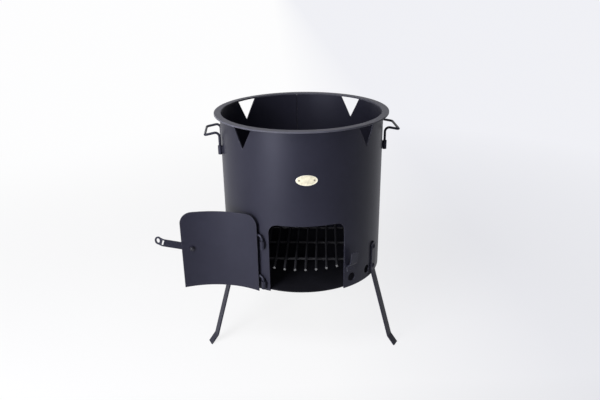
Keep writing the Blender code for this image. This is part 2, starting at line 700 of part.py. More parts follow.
STOVE, CUTTERS = clear_scene()
BADGE_CUTTERS = bpy.data.collections.new("badge_cutters")
bpy.context.scene.collection.children.link(BADGE_CUTTERS)

BLACK = paint("black_paint", (0.040, 0.040, 0.052), 0.45, 0.0)
GREY = paint("ring_paint", (0.11, 0.11, 0.13), 0.5, 0.0)
STEEL = paint("dark_steel", (0.060, 0.060, 0.065), 0.5, 0.6)
BRASS = paint("badge_brass", (0.66, 0.58, 0.38), 0.35, 0.7)

HINGE = add_empty("door_hinge", HINGE_POINT, (0.0, 0.0, -DOOR_OPEN))
make_wall()
make_ring_and_base()
make_legs()
make_handles()
make_badge()
make_catch()
make_hinge_tubes()
make_door(HINGE)
make_latch(HINGE)
make_grate()
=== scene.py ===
"""Looks of a kazan stove: fine sheet-metal pieces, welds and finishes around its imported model.

Metres, +Z up, the door's side towards -Y, as in the model. Angles go round the drum from the front
and are positive to the right. A piece on the wall is drawn lying flat, face up, and stood up on it.
The door is drawn shut and then swung open, which is how the model stands at rest.
"""
import logging
from dataclasses import dataclass, field
from enum import Enum
from math import atan2, ceil, copysign, cos, hypot, pi, radians, sin, sqrt, tan
from random import Random
from typing import Any, Callable, Iterable, Sequence

import bmesh
import bpy
from mathutils import Matrix, Vector


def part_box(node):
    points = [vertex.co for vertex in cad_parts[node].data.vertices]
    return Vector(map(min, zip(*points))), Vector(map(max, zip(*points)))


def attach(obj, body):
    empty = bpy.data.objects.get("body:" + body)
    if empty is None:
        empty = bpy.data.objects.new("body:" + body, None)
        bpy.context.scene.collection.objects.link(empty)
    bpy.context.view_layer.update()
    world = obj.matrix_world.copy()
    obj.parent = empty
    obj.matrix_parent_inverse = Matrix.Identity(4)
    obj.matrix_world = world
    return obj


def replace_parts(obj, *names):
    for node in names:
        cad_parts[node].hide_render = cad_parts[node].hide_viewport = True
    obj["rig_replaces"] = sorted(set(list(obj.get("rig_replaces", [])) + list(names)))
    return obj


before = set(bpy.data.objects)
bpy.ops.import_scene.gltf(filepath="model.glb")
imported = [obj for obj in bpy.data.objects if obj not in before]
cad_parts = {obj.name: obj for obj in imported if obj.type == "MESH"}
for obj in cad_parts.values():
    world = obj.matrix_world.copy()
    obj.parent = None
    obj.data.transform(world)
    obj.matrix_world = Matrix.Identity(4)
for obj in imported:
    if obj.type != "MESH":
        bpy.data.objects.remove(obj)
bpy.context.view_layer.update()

LOG = logging.getLogger("kazan_stove")

Loop = list[tuple[float, float]]
Bend = tuple[float, float, float]
Colour = tuple[float, float, float]
Mesh = bpy.types.Mesh
Work = bmesh.types.BMesh
Socket = bpy.types.NodeSocket
# Values for a node's inputs, or the sockets that they are joined to, by name or number
Inputs = dict[str | int, Any]

# Clearance that the model keeps between two pieces that touch
GAP = 0.0003
# Faces that turn by less than this from each other are one flat face
FLATNESS = radians(0.05)
# Edges that turn by more than this are shaded as sharp
SHARP = radians(50)
# Widest turn of one facet of a rolled sheet, and of a tight bend
ROLL_FACET = radians(1.5)
BEND_FACET = radians(5)
# Points nearer than this are one, and a cut this near to a point goes through it
SAME_POINT = 1e-6
SAME_PLANE = 1e-7
# Facets of a bolt hole, of a pipe or a bolt, and of the round end of a bar or a lever
HOLE_FACETS = 24
PIPE_FACETS = 40
END_FACETS = 24
# Rounding of a pipe's edges
PIPE_EDGE = 0.0005
# A weld's ripples: length, steps in each, and depth and unevenness as shares of its radius
RIPPLE = 0.0016
RIPPLE_STEPS = 4
RIPPLE_DEPTH = 0.11
RIPPLE_CHANCE = 0.03
# A weld's ends: how many radii they thin out over, and the square of their thinnest share
WELD_TAPER = 2.2
WELD_TIP = 0.06
# Radius of a small weld, and how far beyond the wall's face a weld's middle line lies
SMALL_WELD = 0.0013
WELD_OUT = 0.0008
# Welds beside a pipe: how far inside its ends they stop, their place in its radii, and their steps
PIPE_WELD_INSET = 0.002
PIPE_WELD_BESIDE = 0.74
PIPE_WELD_OUT = 0.16
PIPE_WELD_STEPS = 4
# Unevenness of a weld puddle
BLOB_CHANCE = 0.08
# Where the unevenness of each sub-assembly starts
SEED = 11


class Body(Enum):
    """The bodies of the model that a piece can ride on."""

    STOVE = "stove"
    DOOR = "door"
    LATCH = "latch"
    GRATE = "grate"


class Coat(Enum):
    """The finishes, each with the record's slot that it belongs to."""

    BLACK = "black_paint"
    RING = "ring_paint"
    GRATE = "grate_steel"
    FASTENER = "fastener_steel"
    BRASS = "badge_brass"


class Side(Enum):
    """The two sides of the stove, seen from the door."""

    LEFT = "left"
    RIGHT = "right"


def added(name: str, data: bpy.types.ID) -> bpy.types.Object:
    """Adds an object to the scene.

    Args:
        name: Its name.
        data: Its mesh, curve, light or camera.

    Returns:
        The object.
    """
    thing = bpy.data.objects.new(name, data)
    bpy.context.scene.collection.objects.link(thing)
    return thing


def finish_faces(piece: bpy.types.Object, faces: Iterable[int], material: bpy.types.Material) -> None:
    """Gives some faces of a piece a second material.

    Args:
        piece: The piece, which has one material so far.
        faces: The numbers of those faces.
        material: Their material.
    """
    piece.data.materials.append(material)
    for index in faces:
        piece.data.polygons[index].material_index = 1


def circle(radius: float, facets: int, x: float = 0.0, y: float = 0.0, start: float = 0.0) -> Loop:
    """Points of a circle.

    Args:
        radius: Its radius.
        facets: How many points it has.
        x: Its middle across.
        y: Its middle up.
        start: Angle of the first point.

    Returns:
        The points, anticlockwise.
    """
    steps = [start + 2 * pi * i / facets for i in range(facets)]
    return [(x + radius * cos(a), y + radius * sin(a)) for a in steps]


def arc(x: float, y: float, radius: float, first: float, last: float, facets: int) -> Loop:
    """Points of an arc.

    Args:
        x: Its middle across.
        y: Its middle up.
        radius: Its radius.
        first: Angle of its first point.
        last: Angle of its last point.
        facets: How many steps it has.

    Returns:
        The points, both ends included.
    """
    steps = [first + (last - first) * i / facets for i in range(facets + 1)]
    return [(x + radius * cos(a), y + radius * sin(a)) for a in steps]


def rounded(corners: Sequence[Vector], radii: Sequence[float], steps: int,
            closed: bool = False) -> list[Vector]:
    """Runs between corners, with an arc in place of each corner.

    Args:
        corners: The corners, and the two ends of an open line.
        radii: One radius for each corner that is rounded.
        steps: How many steps an arc has.
        closed: Whether the last corner joins the first.

    Returns:
        The points along the line.
    """
    count = len(corners)
    points = [] if closed else [Vector(corners[0])]
    for i, radius in zip(range(0 if closed else 1, count), radii):
        before, corner, after = (Vector(corners[(i + k) % count]) for k in (-1, 0, 1))
        inward = (corner - before).normalized()
        outward = (after - corner).normalized()
        turn = inward.angle(outward)
        axis = inward.cross(outward).normalized()
        start = corner - inward * radius * tan(turn / 2)
        centre = start + axis.cross(inward) * radius
        for step in range(steps + 1):
            spin = Matrix.Rotation(turn * step / steps, 3, axis)
            points.append(centre + spin @ (start - centre))
    if not closed:
        points.append(Vector(corners[-1]))
    return points


def rounded_profile(corners: Loop, radius: float, steps: int = 4) -> Loop:
    """A closed profile in (radius, height) whose corners are all rounded alike.

    Args:
        corners: The sharp corners.
        radius: Radius of each corner.
        steps: How many steps a corner has.

    Returns:
        The profile's points.
    """
    line = rounded([Vector((r, 0.0, h)) for r, h in corners], [radius] * len(corners), steps, True)
    return [(p.x, p.z) for p in line]


def edited(mesh: Mesh, change: Callable[[Work], object]) -> Mesh:
    """Runs one change on a mesh.

    Args:
        mesh: The mesh.
        change: A function that takes its bmesh.

    Returns:
        The same mesh.
    """
    work = bmesh.new()
    work.from_mesh(mesh)
    change(work)
    work.to_mesh(mesh)
    work.free()
    return mesh


def from_faces(points: Sequence[Sequence[float]], faces: Sequence[Sequence[int]]) -> Mesh:
    """A mesh from points and faces, its faces turned outwards.

    Args:
        points: The vertices.
        faces: The vertex numbers of each face.

    Returns:
        The new mesh.
    """
    mesh = bpy.data.meshes.new("made")
    mesh.from_pydata([tuple(p) for p in points], [], faces)
    return edited(mesh, lambda work: bmesh.ops.recalc_face_normals(work, faces=work.faces[:]))


def joined(meshes: Iterable[Mesh]) -> Mesh:
    """One mesh that holds several.

    Args:
        meshes: The meshes, each of them a closed body.

    Returns:
        The new mesh.
    """
    mesh = bpy.data.meshes.new("joined")
    work = bmesh.new()
    for each in meshes:
        work.from_mesh(each)
    work.to_mesh(mesh)
    work.free()
    return mesh


def cut_through(work: Work, point: Sequence[float], normal: Sequence[float],
                trim: bool = False) -> list[bmesh.types.BMEdge]:
    """Cuts a mesh along a plane.

    Args:
        work: The mesh.
        point: A point of the plane.
        normal: The plane's direction.
        trim: Whether what lies behind the plane goes.

    Returns:
        The edges along the cut.
    """
    cut = bmesh.ops.bisect_plane(work, geom=work.verts[:] + work.edges[:] + work.faces[:],
                                 dist=SAME_PLANE, plane_co=point, plane_no=normal, clear_inner=trim)
    return [item for item in cut["geom_cut"] if isinstance(item, bmesh.types.BMEdge)]


def tube_faces(rings: int, sides: int) -> list[tuple[int, ...]]:
    """Faces of a closed tube whose points lie in rings, one after another.

    Args:
        rings: How many rings it has.
        sides: How many points a ring has.

    Returns:
        The point numbers of the two ends, then of the faces between the rings.
    """
    faces = [tuple(range(sides)), tuple(range((rings - 1) * sides, rings * sides))]
    for i in range(rings - 1):
        for k in range(sides):
            n = (k + 1) % sides
            faces.append((i * sides + k, i * sides + n, (i + 1) * sides + n, (i + 1) * sides + k))
    return faces


def dome(width: float, height: float, steps: int) -> Loop:
    """Profile of a domed head.

    Args:
        width: Diameter of its rim.
        height: Its height over the rim.
        steps: How many steps it has.

    Returns:
        The (radius, height) points, from the top to the rim.
    """
    sphere = (width ** 2 / 4 + height ** 2) / (2 * height)
    spread = atan2(width / 2, sphere - height)
    turns = [spread * i / steps for i in range(steps + 1)]
    return [(sphere * sin(a), sphere * cos(a) - sphere + height) for a in turns]


def lathe(profile: Loop, facets: int, solid: bool = False) -> Mesh:
    """A piece turned about Z.

    Args:
        profile: Its (radius, height) points, a closed loop round a hollow middle.
        facets: How many facets a full turn has.
        solid: Whether the profile instead starts and ends on the axis.

    Returns:
        The new mesh.
    """
    if solid:
        profile, tips = profile[1:-1], (profile[0][1], profile[-1][1])
    count = len(profile)
    points = [(r * cos(2 * pi * i / facets), r * sin(2 * pi * i / facets), h)
              for i in range(facets) for r, h in profile]
    faces = []
    for i in range(facets):
        here, there = i * count, (i + 1) % facets * count
        for j in range(count - solid):
            k = (j + 1) % count
            faces.append((here + j, there + j, there + k, here + k))
        if solid:
            faces.append((len(points), there, here))
            faces.append((len(points) + 1, here + count - 1, there + count - 1))
    if solid:
        points += [(0.0, 0.0, h) for h in tips]
    return from_faces(points, faces)


def swept(line: Sequence[Vector], radii: Sequence[float], sides: int) -> Mesh:
    """A round bar along a line, with flat ends.

    Args:
        line: The points of its middle line.
        radii: Its radius at each of them.
        sides: How many sides it has.

    Returns:
        The new mesh.
    """
    last = len(line) - 1
    heading = (line[1] - line[0]).normalized()
    across = heading.orthogonal().normalized()
    points = []
    for i, (point, radius) in enumerate(zip(line, radii)):
        ahead = (line[min(i + 1, last)] - line[max(i - 1, 0)]).normalized()
        across = heading.rotation_difference(ahead) @ across
        across = (across - ahead * across.dot(ahead)).normalized()
        heading = ahead
        up = heading.cross(across)
        points += [point + (across * cos(2 * pi * k / sides) + up * sin(2 * pi * k / sides)) * radius
                   for k in range(sides)]
    return from_faces(points, tube_faces(len(line), sides))


def pipe(outer: float, bore: float, length: float) -> Mesh:
    """An upright pipe with rounded edges, its lower end at z = 0.

    Args:
        outer: Its outer diameter.
        bore: Its inner diameter.
        length: Its length.

    Returns:
        The new mesh.
    """
    corners = [(outer / 2, length), (outer / 2, 0.0), (bore / 2, 0.0), (bore / 2, length)]
    return lathe(rounded_profile(corners, PIPE_EDGE), PIPE_FACETS)


def bar(line: Sequence[Vector], diameter: float, sides: int = 20,
        chamfer: float = 0.0005) -> Mesh:
    """A round bar whose two ends are broken by a small chamfer.

    Args:
        line: The points of its middle line.
        diameter: Its diameter.
        sides: How many sides it has.
        chamfer: Width of the chamfer.

    Returns:
        The new mesh.
    """
    first = line[0] + (line[1] - line[0]).normalized() * chamfer
    last = line[-1] + (line[-2] - line[-1]).normalized() * chamfer
    full = [line[0], first, *line[1:-1], last, line[-1]]
    end = diameter / 2 - chamfer
    return swept(full, [end] + [diameter / 2] * (len(full) - 2) + [end], sides)


def weld(line: Sequence[Vector], radius: float, chance: Random, sides: int = 10) -> Mesh:
    """A weld laid along a line, with ripples and two thinner ends.

    Args:
        line: The points that it follows.
        radius: Its mean radius.
        chance: Where its unevenness comes from.
        sides: How many sides it has.

    Returns:
        The new mesh.
    """
    points, radii = [], []
    length = sum((b - a).length for a, b in zip(line, line[1:]))
    passed, phase = 0.0, chance.uniform(0.0, 2 * pi)
    for a, b in zip(line, line[1:]):
        run = (b - a).length
        steps = max(1, round(run / (RIPPLE / RIPPLE_STEPS)))
        for i in range(steps + (b is line[-1])):
            at = passed + run * i / steps
            taper = min(1.0, sqrt(max(WELD_TIP, min(at, length - at) / (WELD_TAPER * radius))))
            ripple = 1 + RIPPLE_DEPTH * sin(2 * pi * at / RIPPLE + phase)
            ripple += chance.uniform(-RIPPLE_CHANCE, RIPPLE_CHANCE)
            points.append(a.lerp(b, i / steps))
            radii.append(radius * taper * ripple)
        passed += run
    return swept(points, radii, sides)


def blob(place: Vector, radius: float, height: float, chance: Random) -> Mesh:
    """A small weld puddle.

    Args:
        place: Its middle.
        radius: Its mean radius.
        height: Half its height.
        chance: Where its unevenness comes from.

    Returns:
        The new mesh.
    """
    def shape(work: Work) -> None:
        """Makes an uneven ball.

        Args:
            work: The empty mesh.
        """
        bmesh.ops.create_icosphere(work, subdivisions=2, radius=1.0)
        for vertex in work.verts:
            size = radius * (1 + chance.uniform(-BLOB_CHANCE, BLOB_CHANCE))
            vertex.co = place + Vector((vertex.co.x * size, vertex.co.y * size, vertex.co.z * height))

    return edited(bpy.data.meshes.new("blob"), shape)


def bent(along: float, above: float, bends: Sequence[Bend]) -> tuple[float, float]:
    """Where a point of a flat strip lies once the strip is bent.

    Args:
        along: Distance along the flat strip.
        above: Height over its middle.
        bends: Start, middle radius and angle of each bend; a positive angle turns up.

    Returns:
        The point's two coordinates.
    """
    x, z, heading, reached = 0.0, 0.0, 0.0, 0.0
    for start, radius, angle in bends:
        if along <= start:
            break
        x += (start - reached) * cos(heading)
        z += (start - reached) * sin(heading)
        turn = copysign(min(abs(angle), (along - start) / radius), angle)
        side = copysign(radius, angle)
        x += side * (sin(heading + turn) - sin(heading))
        z -= side * (cos(heading + turn) - cos(heading))
        heading += turn
        reached = start + radius * abs(turn)
    x += (along - reached) * cos(heading)
    z += (along - reached) * sin(heading)
    return x - above * sin(heading), z + above * cos(heading)


def on_wall(mesh: Mesh, angle: float, radius: float, height: float) -> Mesh:
    """Stands a piece that was drawn face up on the drum, its face outwards and its +Y up.

    Args:
        mesh: The piece.
        angle: Where it goes round the drum.
        radius: How far it is from the drum's axis.
        height: How high it is.

    Returns:
        The same mesh.
    """
    place = Matrix.Translation(polar(angle, radius, height))
    mesh.transform(place @ Matrix.Rotation(angle, 4, "Z") @ Matrix.Rotation(pi / 2, 4, "X"))
    return mesh


def polar(angle: float, radius: float, height: float) -> Vector:
    """A point by its angle round the drum, its distance from the axis and its height."""
    return Vector((radius * sin(angle), -radius * cos(angle), height))


def pipe_welds(angle: float, wall: float, outer: float, low: float, high: float,
               chance: Random) -> Mesh:
    """The two welds that hold an upright pipe to the wall, a little shorter than the pipe.

    Args:
        angle: Where the pipe stands round the drum.
        wall: Radius of the wall's outer face.
        outer: Diameter of the pipe.
        low: Height of the pipe's lower end.
        high: Height of its upper end.
        chance: Where their unevenness comes from.

    Returns:
        The welds.
    """
    bottom, top, radius = low + PIPE_WELD_INSET, high - PIPE_WELD_INSET, outer / 2
    made = []
    for sign in (-1, 1):
        along = angle + sign * radius * PIPE_WELD_BESIDE / wall
        line = [polar(along, wall + radius * PIPE_WELD_OUT, bottom + (top - bottom) * i / PIPE_WELD_STEPS)
                for i in range(PIPE_WELD_STEPS + 1)]
        made.append(weld(line, SMALL_WELD, chance))
    return joined(made)


def opaque(colour: Colour) -> tuple[float, float, float, float]:
    """A colour with full alpha, as a shader's input takes it."""
    return (*colour, 1.0)


@dataclass
class Blank:
    """A flat sheet cut out along closed loops, with slightly rounded edges, ready to be formed."""

    loops: list[Loop]
    thickness: float
    edge: float = 0.0005

    def cut(self) -> Mesh:
        """Cuts the sheet.

        Returns:
            The flat sheet, its middle at z = 0.
        """
        curve = bpy.data.curves.new("blank", "CURVE")
        curve.dimensions = "2D"
        curve.fill_mode = "BOTH"
        curve.extrude = self.thickness / 2 - self.edge
        curve.bevel_depth = self.edge
        curve.bevel_resolution = 1
        curve.offset = -self.edge
        for loop in self.loops:
            spline = curve.splines.new("POLY")
            spline.points.add(len(loop) - 1)
            for point, (x, y) in zip(spline.points, loop):
                point.co = (x, y, 0.0, 1.0)
            spline.use_cyclic_u = True
        source = added("blank", curve)
        evaluated = source.evaluated_get(bpy.context.evaluated_depsgraph_get())
        mesh = bpy.data.meshes.new_from_object(evaluated)
        bpy.data.objects.remove(source, do_unlink=True)

        def close(work: Work) -> None:
            """Joins the faces of the sheet along their shared edges.

            Args:
                work: The sheet.
            """
            bmesh.ops.remove_doubles(work, verts=work.verts[:], dist=SAME_POINT)
            bmesh.ops.recalc_face_normals(work, faces=work.faces[:])

        return edited(mesh, close)

    @staticmethod
    def score(mesh: Mesh, stations: Sequence[float]) -> None:
        """Cuts a sheet's faces across, so that it can bend there.

        Args:
            mesh: The flat sheet.
            stations: Where it is scored, along +X.
        """
        def cut(work: Work) -> None:
            """Cuts at each station.

            Args:
                work: The sheet.
            """
            for x in stations:
                cut_through(work, (x, 0.0, 0.0), (1.0, 0.0, 0.0))

        edited(mesh, cut)

    @staticmethod
    def flatten(mesh: Mesh) -> Mesh:
        """Joins the flat faces that scoring left in pieces."""
        return edited(mesh, lambda work: bmesh.ops.dissolve_limit(
            work, angle_limit=FLATNESS, verts=work.verts[:], edges=work.edges[:]))

    def rolled(self, radius: float) -> Mesh:
        """Rolls the sheet about an upright axis a radius behind its middle.

        Args:
            radius: Radius of the rolled sheet's middle.

        Returns:
            The rolled sheet.
        """
        mesh = self.cut()
        low = min(vertex.co.x for vertex in mesh.vertices)
        high = max(vertex.co.x for vertex in mesh.vertices)
        facets = ceil((high - low) / radius / ROLL_FACET)
        self.score(mesh, [low + (high - low) * i / facets for i in range(1, facets)])
        for vertex in mesh.vertices:
            turn = vertex.co.x / radius
            out = radius + vertex.co.z
            vertex.co = (out * sin(turn), vertex.co.y, out * cos(turn) - radius)
        return self.flatten(mesh)

    def folded(self, bends: Sequence[Bend]) -> Mesh:
        """Bends the sheet, which lies along +X.

        Args:
            bends: Start, middle radius and angle of each bend; a positive angle turns up.

        Returns:
            The bent sheet.
        """
        mesh = self.cut()
        stations = []
        for start, radius, angle in bends:
            facets = ceil(abs(angle) / BEND_FACET)
            stations += [start + radius * abs(angle) * i / facets for i in range(facets + 1)]
        self.score(mesh, stations)
        for vertex in mesh.vertices:
            x, z = bent(vertex.co.x, vertex.co.z, bends)
            vertex.co = (x, vertex.co.y, z)
        return self.flatten(mesh)


def bent_strip(length: float, width: float, thickness: float, bends: Sequence[Bend]) -> Mesh:
    """A strip with square corners, bent, its first end at the origin and running along +Y.

    Args:
        length: Its flat length.
        width: Its width.
        thickness: Its thickness.
        bends: Start, middle radius and angle of each bend; a positive angle turns up.

    Returns:
        The bent strip.
    """
    half = width / 2
    outline = [(0.0, -half), (length, -half), (length, half), (0.0, half)]
    mesh = Blank([outline], thickness).folded(bends)
    mesh.transform(Matrix.Rotation(pi / 2, 4, "Z"))
    return mesh


class Wiring:
    """Adds and joins the nodes of one shader tree."""

    def __init__(self, tree: bpy.types.NodeTree) -> None:
        """Takes the tree that it works on."""
        self.tree = tree

    def join(self, output: Socket, target: Socket) -> None:
        """Joins an output to an input."""
        self.tree.links.new(output, target)

    def add(self, kind: str, inputs: Inputs | None = None, **settings: Any) -> bpy.types.Node:
        """Adds a node.

        Args:
            kind: Its type.
            inputs: A value for, or a socket to join to, each named or numbered input.
            settings: Its own properties.

        Returns:
            The node.
        """
        node = self.tree.nodes.new(kind)
        for name, value in settings.items():
            setattr(node, name, value)
        for key, value in (inputs or {}).items():
            if isinstance(value, Socket):
                self.join(value, node.inputs[key])
            else:
                node.inputs[key].default_value = value
        return node

    def surface(self) -> Socket:
        """The coordinates of a surface in its own piece."""
        return self.add("ShaderNodeTexCoord").outputs["Object"]

    def group(self, tree: bpy.types.NodeTree, inputs: Inputs) -> bpy.types.Node:
        """Adds a node group."""
        return self.add("ShaderNodeGroup", inputs, node_tree=tree)

    def math(self, operation: str, *values: Any) -> Socket:
        """Adds a Math node.

        Args:
            operation: What it works out.
            values: Its inputs, numbers or sockets.

        Returns:
            Its output.
        """
        return self.add("ShaderNodeMath", dict(enumerate(values)), operation=operation).outputs[0]

    def vector(self, operation: str, inputs: Inputs, output: str = "Vector") -> Socket:
        """Adds a Vector Math node.

        Args:
            operation: What it works out.
            inputs: Its inputs, values or sockets.
            output: Which of its outputs is wanted.

        Returns:
            That output.
        """
        return self.add("ShaderNodeVectorMath", inputs, operation=operation).outputs[output]

    def noise(self, where: Socket, scale: Any, detail: float = 3.0, roughness: float = 0.55) -> Socket:
        """Adds a noise texture.

        Args:
            where: The socket with its coordinates.
            scale: Its scale, a number or a socket.
            detail: How many finer layers it has.
            roughness: How strong they are.

        Returns:
            Its value, about 0.5 on average.
        """
        node = self.add("ShaderNodeTexNoise", {"Vector": where, "Scale": scale, "Detail": detail,
                                               "Roughness": roughness})
        return node.outputs["Fac"]

    def spread(self, value: Socket, low: float, high: float, first: float = 0.0,
               last: float = 1.0) -> Socket:
        """Maps a range of values to another, and stops at its ends.

        Args:
            value: The socket to map.
            low: The value that becomes the first.
            high: The value that becomes the last.
            first: What the low value becomes.
            last: What the high value becomes.

        Returns:
            The mapped value.
        """
        node = self.add("ShaderNodeMapRange", {"Value": value, "From Min": low, "From Max": high,
                                               "To Min": first, "To Max": last})
        return node.outputs["Result"]

    def blend(self, share: Any, one: Any, other: Any) -> Socket:
        """Mixes two colours.

        Args:
            share: How much of the second shows.
            one: The first colour.
            other: The second colour.

        Returns:
            The mixed colour.
        """
        factor, first, second, result = 0, 6, 7, 2
        node = self.add("ShaderNodeMix", {factor: share, first: one, second: other}, data_type="RGBA")
        return node.outputs[result]


class Effects:
    """The node groups that several finishes share, each built once."""

    # Tone: how much finer the small clouds are, their share, and how strongly both show
    TONE_RATIO = 7.0
    TONE_SHARE = 0.35
    TONE_STRENGTH = 4.0
    # Grain: scale and share of the broad waves under the skin
    WAVE_RATIO = 0.12
    WAVE_SHARE = 0.8
    # Streaks: how much finer the small lines are, and their share
    LINE_RATIO = 4.3
    LINE_SHARE = 0.5
    # Wear and painted edge highlight: cosines between which an edge begins to show and shows fully, and
    # how it is broken up
    EDGE = (0.99, 0.82)
    BREAK_SCALE = 160.0
    BREAK = (0.42, 0.62)
    EDGE_SAMPLES = 4

    def __init__(self) -> None:
        """Builds the groups."""
        self.tone = self.make_tone()
        self.grain = self.make_grain()
        self.streaks = self.make_streaks()
        self.wear_and_edge_glint = self.make_wear_and_edge_glint()

    @staticmethod
    def start(name: str, inputs: dict[str, Any],
              outputs: dict[str, str]) -> tuple[bpy.types.NodeTree, Wiring, Any, Any]:
        """Opens a new group.

        Args:
            name: Its name.
            inputs: The default value of each input, by name.
            outputs: The type of each output, by name.

        Returns:
            The group, its wiring, what it is given and what it puts out.
        """
        kinds = {float: "NodeSocketFloat", tuple: "NodeSocketVector", list: "NodeSocketColor"}
        group = bpy.data.node_groups.new(name, "ShaderNodeTree")
        for label, value in inputs.items():
            socket = group.interface.new_socket(label, in_out="INPUT", socket_type=kinds[type(value)])
            socket.default_value = value
        for label, kind in outputs.items():
            group.interface.new_socket(label, in_out="OUTPUT", socket_type=kind)
        wires = Wiring(group)
        return group, wires, wires.add("NodeGroupInput").outputs, wires.add("NodeGroupOutput").inputs

    def make_tone(self) -> bpy.types.NodeTree:
        """A colour that drifts a little over the surface, in broad clouds and in finer ones.

        Returns:
            The group.
        """
        group, wires, given, out = self.start(
            "tone", {"Vector": (0.0, 0.0, 0.0), "Color": [0.5, 0.5, 0.5, 1.0], "Scale": 9.0,
                     "Amount": 0.15}, {"Color": "NodeSocketColor"})
        broad = wires.noise(given["Vector"], given["Scale"], 2.0)
        fine = wires.noise(given["Vector"], wires.math("MULTIPLY", given["Scale"], self.TONE_RATIO), 4.0)
        both = wires.math("MULTIPLY_ADD", fine, self.TONE_SHARE,
                          wires.math("MULTIPLY", broad, 1 - self.TONE_SHARE))
        drift = wires.math("MULTIPLY", wires.math("SUBTRACT", both, 0.5), self.TONE_STRENGTH)
        factor = wires.math("MULTIPLY_ADD", drift, given["Amount"], 1.0)
        wires.join(wires.vector("SCALE", {0: given["Color"], "Scale": factor}), out["Color"])
        return group

    def make_grain(self) -> bpy.types.NodeTree:
        """The fine pebbled skin of sprayed paint: a height, and a value round zero.

        Returns:
            The group.
        """
        group, wires, given, out = self.start(
            "grain", {"Vector": (0.0, 0.0, 0.0), "Scale": 900.0},
            {"Height": "NodeSocketFloat", "Value": "NodeSocketFloat"})
        skin = wires.noise(given["Vector"], given["Scale"], 2.0, 0.6)
        waves = wires.noise(given["Vector"], wires.math("MULTIPLY", given["Scale"], self.WAVE_RATIO), 1.0)
        wires.join(wires.math("MULTIPLY_ADD", waves, self.WAVE_SHARE, skin), out["Height"])
        wires.join(wires.math("SUBTRACT", skin, 0.5), out["Value"])
        return group

    def make_streaks(self) -> bpy.types.NodeTree:
        """Fine lines drawn along the directions in which the pattern is stretched.

        Returns:
            The group.
        """
        group, wires, given, out = self.start(
            "streaks", {"Vector": (0.0, 0.0, 0.0), "Stretch": (1.0, 1.0, 1.0)},
            {"Value": "NodeSocketFloat"})
        where = wires.vector("MULTIPLY", {0: given["Vector"], 1: given["Stretch"]})
        coarse = wires.noise(where, 1.0, 2.0)
        fine = wires.noise(where, self.LINE_RATIO, 3.0, 0.7)
        both = wires.math("MULTIPLY_ADD", fine, self.LINE_SHARE,
                          wires.math("MULTIPLY", coarse, 1 - self.LINE_SHARE))
        wires.join(both, out["Value"])
        return group

    def make_wear_and_edge_glint(self) -> bpy.types.NodeTree:
        """Where paint is thin, and where a highlight is painted: a broken line along the outer edges.

        Returns:
            The group.
        """
        group, wires, given, out = self.start(
            "wear_and_edge_glint", {"Vector": (0.0, 0.0, 0.0), "Width": 0.0008, "Amount": 0.5},
            {"Mask": "NodeSocketFloat"})
        soft = wires.add("ShaderNodeBevel", {"Radius": given["Width"]},
                         samples=self.EDGE_SAMPLES).outputs["Normal"]
        true = wires.add("ShaderNodeNewGeometry").outputs["Normal"]
        edge = wires.spread(wires.vector("DOT_PRODUCT", {0: soft, 1: true}, "Value"), *self.EDGE)
        broken = wires.spread(wires.noise(given["Vector"], self.BREAK_SCALE, 4.0, 0.7), *self.BREAK)
        mask = wires.math("MULTIPLY", wires.math("MULTIPLY", edge, broken), given["Amount"])
        wires.join(mask, out["Mask"])
        return group


# Streaks on a finish: how much they change its shade, its gloss and its height
STREAK_SHADE = 3.0
STREAK_GLOSS = 0.6
STREAK_HEIGHT = 0.8
# Strength of the grain's bumps
BUMP_STRENGTH = 0.6


